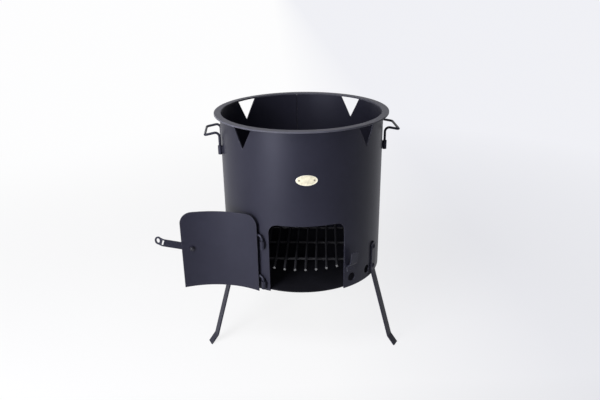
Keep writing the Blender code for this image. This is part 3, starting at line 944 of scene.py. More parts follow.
@dataclass(frozen=True)
class Finish:
    """What every finish has: a name, its colour, its gloss and how uneven it is."""

    name: str
    colour: Colour
    roughness: float
    specular: float = 0.5
    tint: Colour = (1.0, 1.0, 1.0)
    metallic: float = 0.0
    tone: float = 0.15
    tone_scale: float = 9.0
    grain_scale: float = 900.0
    grain_depth: float = 0.00003
    grain_gloss: float = 0.25
    # Wear and a painted edge highlight: how strong, and the lighter colour along the edges
    wear_and_edge_glint: float = 0.35
    wear_and_glint_colour: Colour = (0.11, 0.11, 0.12)
    streaks: float = 0.0
    stretch: tuple[float, float, float] = (1.0, 1.0, 1.0)
    turned: bool = False

    def streaked_along(self, wires: Wiring, where: Socket) -> Socket:
        """The coordinates that the streaks follow, round the drum's axis if the piece is turned.

        Args:
            wires: The material's wiring.
            where: The coordinates of the surface.

        Returns:
            The socket with the coordinates.
        """
        if not self.turned:
            return where
        parts = wires.add("ShaderNodeSeparateXYZ", {0: where}).outputs
        square = wires.math("MULTIPLY_ADD", parts[0], parts[0],
                            wires.math("MULTIPLY", parts[1], parts[1]))
        radius = wires.math("SQRT", square)
        return wires.add("ShaderNodeCombineXYZ", {0: radius, 1: parts[0], 2: parts[1]}).outputs[0]

    def build(self, effects: Effects) -> bpy.types.Material:
        """Makes the material.

        Args:
            effects: The shared node groups.

        Returns:
            The material.
        """
        material = bpy.data.materials.new(self.name)
        material.use_nodes = True
        wires = Wiring(material.node_tree)
        where = wires.surface()
        tone = wires.group(effects.tone, {"Vector": where, "Color": opaque(self.colour),
                                          "Scale": self.tone_scale, "Amount": self.tone})
        grain = wires.group(effects.grain, {"Vector": where, "Scale": self.grain_scale})
        wear_and_edge_glint = wires.group(effects.wear_and_edge_glint, {"Vector": where, "Amount": self.wear_and_edge_glint})
        # Lighter colour along the edges: partly wear, partly a painted highlight
        colour = wires.blend(wear_and_edge_glint.outputs["Mask"], tone.outputs["Color"], opaque(self.wear_and_glint_colour))
        gloss = wires.math("MULTIPLY_ADD", grain.outputs["Value"], self.grain_gloss, self.roughness)
        height = grain.outputs["Height"]
        if self.streaks:
            along = self.streaked_along(wires, where)
            streaks = wires.group(effects.streaks, {"Vector": along, "Stretch": self.stretch})
            lines = streaks.outputs["Value"]
            centred = wires.math("SUBTRACT", lines, 0.5)
            shade = wires.math("MULTIPLY_ADD", centred, self.streaks * STREAK_SHADE, 1.0)
            colour = wires.vector("SCALE", {0: colour, "Scale": shade})
            gloss = wires.math("MULTIPLY_ADD", centred, self.streaks * STREAK_GLOSS, gloss)
            height = wires.math("MULTIPLY_ADD", lines, STREAK_HEIGHT, height)
        bump = wires.add("ShaderNodeBump", {"Height": height, "Strength": BUMP_STRENGTH,
                                            "Distance": self.grain_depth})
        shader = material.node_tree.nodes["Principled BSDF"].inputs
        wires.join(colour, shader["Base Color"])
        wires.join(gloss, shader["Roughness"])
        wires.join(bump.outputs["Normal"], shader["Normal"])
        shader["Metallic"].default_value = self.metallic
        shader["Specular IOR Level"].default_value = self.specular
        shader["Specular Tint"].default_value = opaque(self.tint)
        return material


# Each wear colour, lighter than its finish, is partly wear and partly a painted edge highlight
BLACK_PAINT = Finish("satin_black_paint", (0.0135, 0.0135, 0.0222), 0.43, specular=0.20,
                     tint=(0.78, 0.80, 1.0), wear_and_edge_glint=0.60, wear_and_glint_colour=(0.30, 0.30, 0.32))
RING_PAINT = Finish("thin_ring_paint", (0.064, 0.064, 0.084), 0.50, specular=0.13, wear_and_edge_glint=0.7,
                    wear_and_glint_colour=(0.30, 0.30, 0.34), streaks=0.30, stretch=(900.0, 14.0, 14.0),
                    turned=True)
GRATE_STEEL = Finish("blued_rod_steel", (0.017, 0.017, 0.021), 0.46, specular=0.30, metallic=0.1,
                     tone=0.35, tone_scale=30.0, streaks=0.25, stretch=(900.0, 30.0, 900.0))
CUT_STEEL = Finish("bare_cut_steel", (0.10, 0.10, 0.105), 0.45, metallic=0.3, wear_and_edge_glint=0.0,
                   streaks=0.25, stretch=(700.0, 700.0, 60.0))
# Darker and less glossy than the black paint, to paint the shade inside the drum onto the floor disc
INSIDE_SHADE_PAINT = Finish("matt_inside_paint_with_painted_shade", (0.0065, 0.0065, 0.0095), 0.62, specular=0.08,
                      tone=0.40, tone_scale=14.0, wear_and_edge_glint=0.20)
BOLT_PAINT = Finish("painted_fastener", (0.015, 0.015, 0.022), 0.30, specular=0.32, wear_and_edge_glint=0.55,
                    wear_and_glint_colour=(0.20, 0.20, 0.21))
BRASS = Finish("satin_pale_brass", (0.90, 0.88, 0.78), 0.45, metallic=0.60, tone=0.08,
               tone_scale=60.0, grain_depth=0.00001, wear_and_edge_glint=0.15, wear_and_glint_colour=(0.85, 0.82, 0.70),
               streaks=0.12, stretch=(60.0, 60.0, 2600.0))
ETCHED_BRASS = Finish("etched_brass", (0.76, 0.71, 0.55), 0.46, metallic=0.60, tone=0.30,
                      tone_scale=140.0, grain_depth=0.00002, wear_and_edge_glint=0.0, streaks=0.20,
                      stretch=(60.0, 60.0, 2600.0))
AGED_BRASS = Finish("aged_brass", (0.12, 0.105, 0.08), 0.42, metallic=0.60, tone=0.30,
                    tone_scale=400.0, wear_and_edge_glint=0.5, wear_and_glint_colour=(0.60, 0.54, 0.38))


class Finishes:
    """The materials of the stove: one for each coat, and those of single places."""

    def __init__(self) -> None:
        """Builds every material once."""
        effects = Effects()
        coats = {Coat.BLACK: BLACK_PAINT, Coat.RING: RING_PAINT, Coat.GRATE: GRATE_STEEL,
                 Coat.FASTENER: BOLT_PAINT, Coat.BRASS: BRASS}
        self.by_coat = {coat: finish.build(effects) for coat, finish in coats.items()}
        self.cut_steel = CUT_STEEL.build(effects)
        self.inside_shade_paint = INSIDE_SHADE_PAINT.build(effects)
        self.etched_brass = ETCHED_BRASS.build(effects)
        self.aged_brass = AGED_BRASS.build(effects)


@dataclass
class SubAssembly:
    """What every sub-assembly shares: its finishes, the drum's sizes and the pieces it has made."""

    finishes: Finishes
    drum_radius: float = 0.200
    wall_thickness: float = 0.003
    bolt_hole: float = 0.0068
    pieces: list[bpy.types.Object] = field(default_factory=list, init=False)
    chance: Random = field(default_factory=lambda: Random(SEED), init=False)

    @property
    def wall_inner(self) -> float:
        """Radius of the wall's inner face."""
        return self.drum_radius - self.wall_thickness

    @property
    def seat_radius(self) -> float:
        """Radius at which pieces sit on the wall."""
        return self.drum_radius + GAP

    def dress(self, name: str, mesh: Mesh, *nodes: str, body: Body = Body.STOVE,
              coat: Coat = Coat.BLACK) -> bpy.types.Object:
        """Makes a piece of a mesh.

        Args:
            name: The piece's name.
            mesh: Its mesh, in its place on the stove.
            nodes: The nodes of the model that it stands for.
            body: The body that it rides on.
            coat: Its finish.

        Returns:
            The piece.
        """
        mesh.name = name
        mesh.materials.clear()
        mesh.materials.append(self.finishes.by_coat[coat])
        mesh.shade_smooth()
        mesh.set_sharp_from_angle(angle=SHARP)
        piece = added(name, mesh)
        evenly = piece.modifiers.new("Even shading", "WEIGHTED_NORMAL")
        evenly.keep_sharp = True
        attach(piece, body.value)
        if nodes:
            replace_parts(piece, *nodes)
        self.pieces.append(piece)
        return piece

    def report(self) -> None:
        """Logs each piece and how far its box is from those of the nodes that it stands for."""
        for piece in self.pieces:
            nodes = list(piece.get("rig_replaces", []))
            low = [min(v.co[i] for v in piece.data.vertices) for i in range(3)]
            high = [max(v.co[i] for v in piece.data.vertices) for i in range(3)]
            off = 0.0
            if nodes:
                boxes = [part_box(node) for node in nodes]
                off = max(max(abs(low[i] - min(b[0][i] for b in boxes)),
                              abs(high[i] - max(b[1][i] for b in boxes))) for i in range(3))
            LOG.info("%s: %d faces, stands for %s, box off by %.2f mm", piece.name,
                     len(piece.data.polygons), ", ".join(nodes) or "nothing", off * 1000)


@dataclass
class Drum(SubAssembly):
    """The rolled wall with its openings, the ring on top and the floor inside."""

    wall_bottom: float = -0.0025
    wall_top: float = 0.3967
    seam_angle: float = radians(180.6)
    seam_gap: float = 0.0012
    seam_weld_radius: float = 0.0017
    seam_weld_ends: tuple[float, float] = (0.002, 0.001)
    stoke_half_angle: float = radians(26.5)
    stoke_top: float = 0.174
    stoke_corner: float = 0.022
    stoke_corner_steps: int = 12
    notch_angles: tuple[float, ...] = tuple(radians(a) for a in (135, 45, -45, -135))
    notch_width: float = 0.060
    notch_tip: float = 0.344
    air_hole_angles: tuple[float, ...] = tuple(radians(a) for a in (-49.6, -39.5, 33.3, 49.6))
    air_hole_diameter: float = 0.022
    air_hole_height: float = 0.0225
    air_hole_facets: int = 48
    ring_outer: float = 0.21369
    ring_inner: float = 0.1968
    ring_thickness: float = 0.004
    ring_edge: float = 0.0008
    ring_facets: int = 240
    floor_thickness: float = 0.003
    floor_edge: float = 0.0006
    floor_edge_steps: int = 3
    floor_facets: int = 192
    weld_radius: float = 0.0016
    weld_rise: float = 0.0006
    ring_weld_places: tuple[float, ...] = (-24, -8, 8, 24)
    ring_weld_points: tuple[float, ...] = (-4.5, -3, -1.5, 0, 1.5, 3, 4.5)
    floor_weld_radii: tuple[float, float] = (0.1962, 0.1960)
    floor_weld_low: float = -0.0005
    floor_weld_places: tuple[float, ...] = tuple(40 + 35 * i for i in range(9))
    floor_weld_points: tuple[float, ...] = (-2.4, -1.2, 0, 1.2, 2.4)

    def build(self, legs: "Legs") -> None:
        """Builds the wall, the ring, the floor and their welds.

        Args:
            legs: The legs, whose bolts go through the wall.
        """
        self.dress("wall_sheet", self.make_wall(legs), "drum_shell")
        low, high = self.wall_bottom + self.seam_weld_ends[0], self.wall_top - self.seam_weld_ends[1]
        seam = [polar(self.seam_angle, self.drum_radius, height) for height in (low, high)]
        self.dress("wall_seam_weld", weld(seam, self.seam_weld_radius, self.chance))
        low = self.wall_top + GAP
        corners = [(self.ring_outer, low + self.ring_thickness), (self.ring_outer, low),
                   (self.ring_inner, low), (self.ring_inner, low + self.ring_thickness)]
        ring = lathe(rounded_profile(corners, self.ring_edge), self.ring_facets)
        self.dress("seat_ring", ring, "top_ring", coat=Coat.RING)
        self.dress("ring_welds", self.ring_welds())
        edge, top = self.wall_inner - GAP, self.floor_thickness
        disc = rounded([Vector((0.0, 0.0, top)), Vector((edge, 0.0, top)), Vector((edge, 0.0, 0.0)),
                        Vector((0.0, 0.0, 0.0))], [self.floor_edge] * 2, self.floor_edge_steps)
        plate = self.dress("floor_disc", lathe([(p.x, p.z) for p in disc], self.floor_facets, True),
                           "base_plate")
        # The floor disc takes the darker inside paint, a painted shade inside the drum
        plate.data.materials[0] = self.finishes.inside_shade_paint
        self.dress("floor_welds", self.floor_welds())

    def make_wall(self, legs: "Legs") -> Mesh:
        """The wall: one flat sheet, cut out and rolled until its ends meet at the rear.

        Args:
            legs: The legs, whose bolts go through it.

        Returns:
            The wall.
        """
        middle = self.drum_radius - self.wall_thickness / 2
        shrink = middle / self.drum_radius
        right = self.seam_angle * self.drum_radius - self.seam_gap / 2
        left = (self.seam_angle - 2 * pi) * self.drum_radius + self.seam_gap / 2
        side, corner = self.stoke_half_angle * self.drum_radius, self.stoke_corner
        steps = self.stoke_corner_steps
        outline = [(left, self.wall_bottom), (-side, self.wall_bottom)]
        outline += arc(corner - side, self.stoke_top - corner, corner, pi, pi / 2, steps)
        outline += arc(side - corner, self.stoke_top - corner, corner, pi / 2, 0.0, steps)
        outline += [(side, self.wall_bottom), (right, self.wall_bottom), (right, self.wall_top)]
        for angle in self.notch_angles:
            tip = angle * self.drum_radius
            outline += [(tip + self.notch_width / 2, self.wall_top), (tip, self.notch_tip),
                        (tip - self.notch_width / 2, self.wall_top)]
        outline.append((left, self.wall_top))
        loops = [outline]
        loops += [circle(self.air_hole_diameter / 2, self.air_hole_facets, angle * self.drum_radius,
                         self.air_hole_height) for angle in self.air_hole_angles]
        loops += [circle(self.bolt_hole / 2, HOLE_FACETS, angle * self.drum_radius, height)
                  for angle in legs.angles for height in legs.bolt_heights]
        flat = [[(x * shrink, y) for x, y in loop] for loop in loops]
        return on_wall(Blank(flat, self.wall_thickness).rolled(middle), 0.0, middle, 0.0)

    def stitch(self, place: float, points: Sequence[float], radius: float, height: float) -> Mesh:
        """A short weld laid round the drum.

        Args:
            place: Degrees round the drum to its middle.
            points: Degrees from there to each of its points.
            radius: Its distance from the drum's axis.
            height: Its height.

        Returns:
            The weld.
        """
        line = [polar(radians(place) + radians(point), radius, height) for point in points]
        return weld(line, self.weld_radius, self.chance)

    def ring_welds(self) -> Mesh:
        """Stitches between the ring's underside and the wall, four in each span between notches.

        Returns:
            The stitches.
        """
        radius, height = self.drum_radius + WELD_OUT, self.wall_top - self.weld_rise
        return joined([self.stitch(90 * quarter + place, self.ring_weld_points, radius, height)
                       for quarter in range(4) for place in self.ring_weld_places])

    def floor_welds(self) -> Mesh:
        """Tacks between the floor and the wall, inside the drum and under it.

        Returns:
            The tacks.
        """
        heights = (self.floor_thickness + self.weld_rise, self.floor_weld_low)
        return joined([self.stitch(place, self.floor_weld_points, radius, height)
                       for height, radius in zip(heights, self.floor_weld_radii)
                       for place in self.floor_weld_places])


@dataclass
class Fasteners(SubAssembly):
    """The coach bolts, nuts and washers that other sub-assemblies fit."""

    shank: float = 0.006
    head: float = 0.013
    dome: float = 0.0033
    head_rim: float = 0.0003
    head_edge: float = 0.0001
    head_steps: int = 10
    tail: float = 0.0015
    core_share: float = 0.86
    plain_share: float = 0.80
    neck_share: float = 0.85
    core_short: float = 0.0005
    pitch: float = 0.001
    thread_depth: float = 0.0004
    thread_sides: int = 24
    thread_rings: int = 6
    nut_flats: float = 0.010
    nut_thickness: float = 0.005
    nut_edge: float = 0.0006

    def bolt(self, grip: float) -> Mesh:
        """A coach bolt; z = 0 is under its head.

        Args:
            grip: Thickness of what it clamps.

        Returns:
            The bolt's mesh.
        """
        length = grip + self.nut_thickness + 2 * GAP + self.tail
        shank, rim = self.shank / 2, self.head / 2
        core, end = shank * self.core_share, self.core_short - length
        profile = dome(self.head, self.dome, self.head_steps)[:-1]
        profile += [(rim, self.head_rim), (rim - self.head_edge, -self.head_edge / 2)]
        profile += [(shank + self.thread_depth, 0.0), (shank, -self.thread_depth)]
        profile += [(shank, -grip * self.plain_share), (core, -grip * self.neck_share)]
        body = lathe(profile + [(core, end), (0.0, end)], PIPE_FACETS, solid=True)
        return joined([body, self.thread(shank, -grip * self.plain_share, -length)])

    def thread(self, radius: float, top: float, bottom: float) -> Mesh:
        """A stretch of screw thread, shallower at its two ends.

        Args:
            radius: Its outer radius.
            top: Height of its upper end.
            bottom: Height of its lower end.

        Returns:
            The thread's mesh.
        """
        sides, per_turn = self.thread_sides, self.thread_rings
        rings = ceil((top - bottom) / self.pitch * per_turn)
        points = []
        for j in range(rings + 1):
            height = bottom + (top - bottom) * j / rings
            ease = min(1.0, min(j, rings - j) / per_turn)
            for i in range(sides):
                place = (height / self.pitch + i / sides) % 1.0
                depth = abs(2 * place - 1) * self.thread_depth
                r = radius - depth * ease - self.thread_depth * (1 - ease)
                points.append((r * cos(2 * pi * i / sides), r * sin(2 * pi * i / sides), height))
        return from_faces(points, tube_faces(rings + 1, sides))

    def nut(self) -> Mesh:
        """A hexagon nut, its middle at the origin.

        Returns:
            The nut's mesh.
        """
        corners = circle(self.nut_flats / sqrt(3), 6, start=pi / 6)
        hole = circle(self.bolt_hole / 2, HOLE_FACETS)
        return Blank([corners, hole], self.nut_thickness, self.nut_edge).cut()


@dataclass
class Legs(SubAssembly):
    """Three legs of bent flat bar, each held by two bolts with nuts inside the drum."""

    angles: tuple[float, ...] = tuple(radians(a) for a in (57.5, 175.5, -66.5))
    width: float = 0.020
    thickness: float = 0.004
    top: float = 0.088
    bend_height: float = 0.010
    bend_radius: float = 0.012
    knee_radius: float = 0.2555
    knee_height: float = -0.169
    knee_bend: float = 0.010
    foot_slope: float = radians(40)
    foot_length: float = 0.027
    floor: float = -0.19149
    edge: float = 0.0007
    bolt_heights: tuple[float, ...] = (0.074, 0.021)

    def make_leg(self) -> Mesh:
        """One leg, its top at the origin, drawn lying on its back.

        Returns:
            The leg.
        """
        run_out = self.knee_radius - self.seat_radius - self.thickness / 2
        run_down = self.bend_height - self.knee_height
        slope = atan2(run_out, run_down)
        to_bend = self.top - self.bend_height
        bend_start = to_bend - self.bend_radius * tan(slope / 2)
        knee_turn = self.foot_slope - slope
        loss = self.bend_radius * (2 * tan(slope / 2) - slope)
        knee_start = to_bend + hypot(run_out, run_down) - loss - self.knee_bend * tan(knee_turn / 2)
        half = self.width / 2
        end = knee_start + self.knee_bend * knee_turn + self.foot_length
        outline = arc(half, 0.0, half, pi / 2, 3 * pi / 2, END_FACETS) + [(end, -half), (end, half)]
        holes = [circle(self.bolt_hole / 2, HOLE_FACETS, self.top - height)
                 for height in self.bolt_heights]
        mesh = Blank([outline] + holes, self.thickness, self.edge).folded(
            [(bend_start, self.bend_radius, slope), (knee_start, self.knee_bend, knee_turn)])
        mesh.transform(Matrix.Rotation(-pi / 2, 4, "Z"))

        def trim(work: Work) -> None:
            """Cuts the foot level with the ground.

            Args:
                work: The leg.
            """
            rim = cut_through(work, (0.0, self.floor - self.top, 0.0), (0.0, 1.0, 0.0), trim=True)
            bmesh.ops.contextual_create(work, geom=rim)
            bmesh.ops.recalc_face_normals(work, faces=work.faces[:])

        return edited(mesh, trim)

    def build(self, fasteners: Fasteners) -> None:
        """Builds the legs with their bolts and nuts.

        Args:
            fasteners: Where the bolts and nuts come from.
        """
        leg = self.make_leg()
        stack = self.thickness + self.wall_thickness + 2 * GAP
        head_radius = self.seat_radius + self.thickness + GAP
        nut_radius = head_radius - stack - 2 * GAP - fasteners.nut_thickness / 2
        for i, angle in enumerate(self.angles, start=1):
            placed = on_wall(leg.copy(), angle, self.seat_radius + self.thickness / 2, self.top)
            self.dress(f"leg_bar_{i}", placed, f"leg_{i}")
            for j, height in enumerate(self.bolt_heights, start=1):
                bolt = on_wall(fasteners.bolt(stack), angle, head_radius, height)
                self.dress(f"leg_coach_bolt_{i}_{j}", bolt, f"leg_bolt_{i}_{j}")
                nut = on_wall(fasteners.nut(), angle, nut_radius, height)
                self.dress(f"leg_hex_nut_{i}_{j}", nut, f"leg_nut_{i}_{j}")


@dataclass
class Handles(SubAssembly):
    """Two carrying handles of bent rod, each stood in two short pipes welded to the wall."""

    angles: tuple[float, ...] = tuple(radians(a) for a in (-88, 90.5))
    rod: float = 0.006
    half_span: float = 0.041
    reach: float = 0.23595
    top: float = 0.362
    grip_height: float = 0.355
    bend: float = 0.010
    corner: float = 0.0055
    bend_steps: int = 12
    socket_outer: float = 0.0105
    socket_bore: float = 0.0068
    socket_bottom: float = 0.3065
    socket_length: float = 0.0215

    def build(self) -> None:
        """Builds the handles, their sockets and the welds beside them."""
        socket_radius = self.seat_radius + self.socket_outer / 2
        root = sqrt(socket_radius ** 2 - self.half_span ** 2)
        half = [(self.half_span, -root, self.socket_bottom), (self.half_span, -root, self.top),
                (self.half_span, -self.reach, self.grip_height)]
        corners = [Vector(p) for p in half] + [Vector((-x, y, z)) for x, y, z in reversed(half)]
        radii = [self.bend, self.corner, self.corner, self.bend]
        line = rounded(corners, radii, self.bend_steps)
        side_angle = atan2(self.half_span, root)
        for angle, side in zip(self.angles, Side):
            turn = Matrix.Rotation(angle, 3, "Z")
            self.dress(f"handle_rod_{side.value}", bar([turn @ p for p in line], self.rod),
                       f"handle_{side.value}")
            for place in (corners[0], corners[-1]):
                point = turn @ place
                word = "rear" if point.y > 0 else "front"
                name = f"handle_socket_{side.value}_{word}"
                tube = pipe(self.socket_outer, self.socket_bore, self.socket_length)
                tube.transform(Matrix.Translation(point))
                self.dress(f"{name}_pipe", tube, name)
                middle = angle + copysign(side_angle, place.x)
                welds = pipe_welds(middle, self.drum_radius, self.socket_outer, point.z,
                                   point.z + self.socket_length, self.chance)
                self.dress(f"{name}_welds", welds)


@dataclass
class Badge(SubAssembly):
    """The bare oval badge plate and its two rivets."""

    height: float = 0.2865
    length: float = 0.049
    depth: float = 0.0248
    thickness: float = 0.0010
    rim: float = 0.0013
    recess: float = 0.0004
    rivet_offset: float = 0.0172
    rivet_head: float = 0.0036
    rivet_shank: float = 0.0020
    rivet_dome: float = 0.0009
    edge: float = 0.0002
    facets: int = 96
    field_steps: int = 9
    rivet_facets: int = 24
    rivet_steps: int = 6

    def build(self) -> None:
        """Builds the plate and the rivets."""
        half, face, edge = self.length / 2, self.thickness / 2, self.edge
        radius = self.seat_radius + face
        border = half - self.rim
        flat, floor = border - self.recess, face - self.recess
        profile = [(0.0, -face), (half / 2, -face), (half - edge, -face), (half, -face + edge),
                   (half, face - 2 * edge), (half - 2 * edge, face), (border + edge, face),
                   (border, face - edge / 2)]
        profile += [(flat - flat * i / self.field_steps, floor) for i in range(self.field_steps)]
        plate = lathe(profile + [(0.0, floor)], self.facets, solid=True)
        field_faces = [polygon.index for polygon in plate.polygons
                       if polygon.center.z > 0 and polygon.center.to_2d().length < border]
        for vertex in plate.vertices:
            x, y, out = vertex.co.x, vertex.co.y * self.depth / self.length, vertex.co.z + radius
            vertex.co = (out * sin(x / radius), y, out * cos(x / radius) - radius)
        badge = self.dress("badge_oval", on_wall(plate, 0.0, radius, self.height), "badge_plate",
                           coat=Coat.BRASS)
        finish_faces(badge, field_faces, self.finishes.etched_brass)
        seat = self.seat_radius + self.thickness - self.recess + GAP
        length = seat - self.wall_inner + self.rivet_dome
        shank = self.rivet_shank / 2
        cap = dome(self.rivet_head, self.rivet_dome, self.rivet_steps)
        rivet = lathe(cap + [(shank, 0.0), (shank, -length), (0.0, -length)], self.rivet_facets,
                      solid=True)
        for sign, side in zip((-1, 1), Side):
            angle = sign * self.rivet_offset / self.drum_radius
            placed = on_wall(rivet.copy(), angle, seat, self.height)
            pin = self.dress(f"badge_pin_{side.value}", placed, f"badge_rivet_{side.value}",
                             coat=Coat.BRASS)
            pin.data.materials[0] = self.finishes.aged_brass


@dataclass
class Catch(SubAssembly):
    """The strip welded to the wall by its foot, stepped out so that the lever drops behind it."""

    angle: float = radians(31.5)
    width: float = 0.020
    thickness: float = 0.003
    bottom: float = 0.043
    top: float = 0.0978
    foot: float = 0.013
    step: float = 0.014
    step_angle: float = radians(48)
    lean: float = radians(11)
    bend_radius: float = 0.005
    weld_gap: float = 0.0006
    weld_drop: float = 0.0004
    weld_height: float = 0.009
    weld_shares: tuple[float, ...] = (-0.9, -0.3, 0.3, 0.9)

    def build(self) -> None:
        """Builds the strip and the weld round its foot."""
        turns = (self.step_angle, self.lean - self.step_angle)
        first, second = (self.bend_radius * tan(abs(turn) / 2) for turn in turns)
        lean_length = (self.top - self.bottom - self.foot
                       - self.step * cos(self.step_angle)) / cos(self.lean)
        first_start = self.foot - first
        second_start = first_start + self.bend_radius * turns[0] + self.step - first - second
        end = second_start - self.bend_radius * turns[1] + lean_length - second
        half = self.width / 2
        bends = [(first_start, self.bend_radius, turns[0]), (second_start, self.bend_radius, turns[1])]
        mesh = bent_strip(end, self.width, self.thickness, bends)
        placed = on_wall(mesh, self.angle, self.seat_radius + self.thickness / 2, self.bottom)
        self.dress("catch_strip", placed, "latch_catch")
        spread = (half + self.weld_gap) / self.drum_radius
        radius = self.drum_radius + WELD_OUT
        low, high = self.bottom - self.weld_drop, self.bottom + self.weld_height
        lines = [[polar(self.angle + sign * spread, radius, h) for h in (low, (low + high) / 2, high)]
                 for sign in (-1, 1)]
        lines.append([polar(self.angle + spread * share, radius, low) for share in self.weld_shares])
        self.dress("catch_welds", joined([weld(line, SMALL_WELD, self.chance) for line in lines]))


@dataclass
class Hinge(SubAssembly):
    """Where the door turns: two pipes on the wall, and the place of their axis."""

    angle: float = radians(-30.4)
    outer: float = 0.0115
    bore: float = 0.0068
    tubes: tuple[tuple[float, float], ...] = ((0.1109, 0.1304), (0.0045, 0.024))

    @property
    def radius(self) -> float:
        """How far the hinge's axis is from the drum's."""
        return self.seat_radius + self.outer / 2

    @property
    def point(self) -> Vector:
        """The point of the hinge's axis at the height of the origin."""
        return polar(self.angle, self.radius, 0.0)

    def build(self) -> None:
        """Builds the pipes and the welds beside them."""
        for word, (low, high) in zip(("upper", "lower"), self.tubes):
            tube = pipe(self.outer, self.bore, high - low)
            tube.transform(Matrix.Translation(self.point + Vector((0.0, 0.0, low))))
            self.dress(f"hinge_pipe_{word}", tube, f"hinge_tube_{word}")
            welds = pipe_welds(self.angle, self.drum_radius, self.outer, low, high, self.chance)
            self.dress(f"hinge_pipe_{word}_welds", welds)


@dataclass
class Door(SubAssembly):
    """The rolled door plate on two hooked rods, drawn shut and swung open."""

    thickness: float = 0.0025
    inner_radius: float = 0.2005
    half_angle: float = radians(27.2)
    bottom: float = -0.0035
    top: float = 0.1930
    corner: float = 0.027
    corner_steps: int = 16
    open_angle: float = radians(189.5)
    rod: float = 0.006
    rod_levels: tuple[float, ...] = (0.1445, 0.0361)
    rod_bend: float = 0.0115
    rod_reach: float = 0.030
    rod_short: float = 0.002
    bend_steps: int = 12
    straight_shares: tuple[float, ...] = (0.5, 0.6, 0.7, 0.8, 0.9, 1.0)
    weld_shares: tuple[float, ...] = (0.62, 0.75, 0.88, 1.0)
    weld_radius: float = 0.0012
    weld_out: float = 0.0007
    weld_beside: float = 0.0024
    pivot_angle: float = radians(20.4)
    pivot_height: float = 0.0996

    @property
    def outer_radius(self) -> float:
        """Radius of the shut door's outer face."""
        return self.inner_radius + self.thickness

    def swing(self, hinge: Hinge) -> Matrix:
        """The move from shut to open.

        Args:
            hinge: The hinge that it turns on.

        Returns:
            The matrix of the move.
        """
        there = Matrix.Translation(hinge.point)
        return there @ Matrix.Rotation(-self.open_angle, 4, "Z") @ there.inverted()

    def build(self, hinge: Hinge) -> None:
        """Builds the plate, the rods and the welds that join them.

        Args:
            hinge: The hinge that the door hangs on.
        """
        opened = self.swing(hinge)
        middle = self.inner_radius + self.thickness / 2
        half, corner, steps = self.half_angle * middle, self.corner, self.corner_steps
        outline = [(-half, self.bottom), (half, self.bottom)]
        outline += arc(half - corner, self.top - corner, corner, 0.0, pi / 2, steps)
        outline += arc(corner - half, self.top - corner, corner, pi / 2, pi, steps)
        pivot = circle(self.bolt_hole / 2, HOLE_FACETS, self.pivot_angle * middle, self.pivot_height)
        plate = on_wall(Blank([outline, pivot], self.thickness).rolled(middle), 0.0, middle, 0.0)
        plate.transform(opened)
        self.dress("door_sheet", plate, "door_plate", body=Body.DOOR)
        for word, level, (low, _) in zip(("upper", "lower"), self.rod_levels, hinge.tubes):
            hook = [(0.0, low + self.rod_short), (0.0, (low + level) / 2)]
            hook += arc(self.rod_bend, level - self.rod_bend, self.rod_bend, pi, pi / 2,
                        self.bend_steps)
            hook += [(self.rod_reach * share, level) for share in self.straight_shares]
            rod = bar([polar(hinge.angle + along / hinge.radius, hinge.radius, height)
                       for along, height in hook], self.rod)
            rod.transform(opened)
            self.dress(f"hinge_hook_{word}", rod, f"hinge_rod_{word}", body=Body.DOOR)
            welds = self.hook_welds(hinge, level)
            welds.transform(opened)
            self.dress(f"hinge_hook_{word}_welds", welds, body=Body.DOOR)

    def hook_welds(self, hinge: Hinge, level: float) -> Mesh:
        """The welds above and below a rod's straight part.

        Args:
            hinge: The hinge that the door hangs on.
            level: Height of the straight part.

        Returns:
            The two welds.
        """
        made = []
        for sign in (-1, 1):
            line = [polar(hinge.angle + self.rod_reach * share / hinge.radius,
                          self.outer_radius + self.weld_out, level + sign * self.weld_beside)
                    for share in self.weld_shares]
            made.append(weld(line, self.weld_radius, self.chance))
        return joined(made)


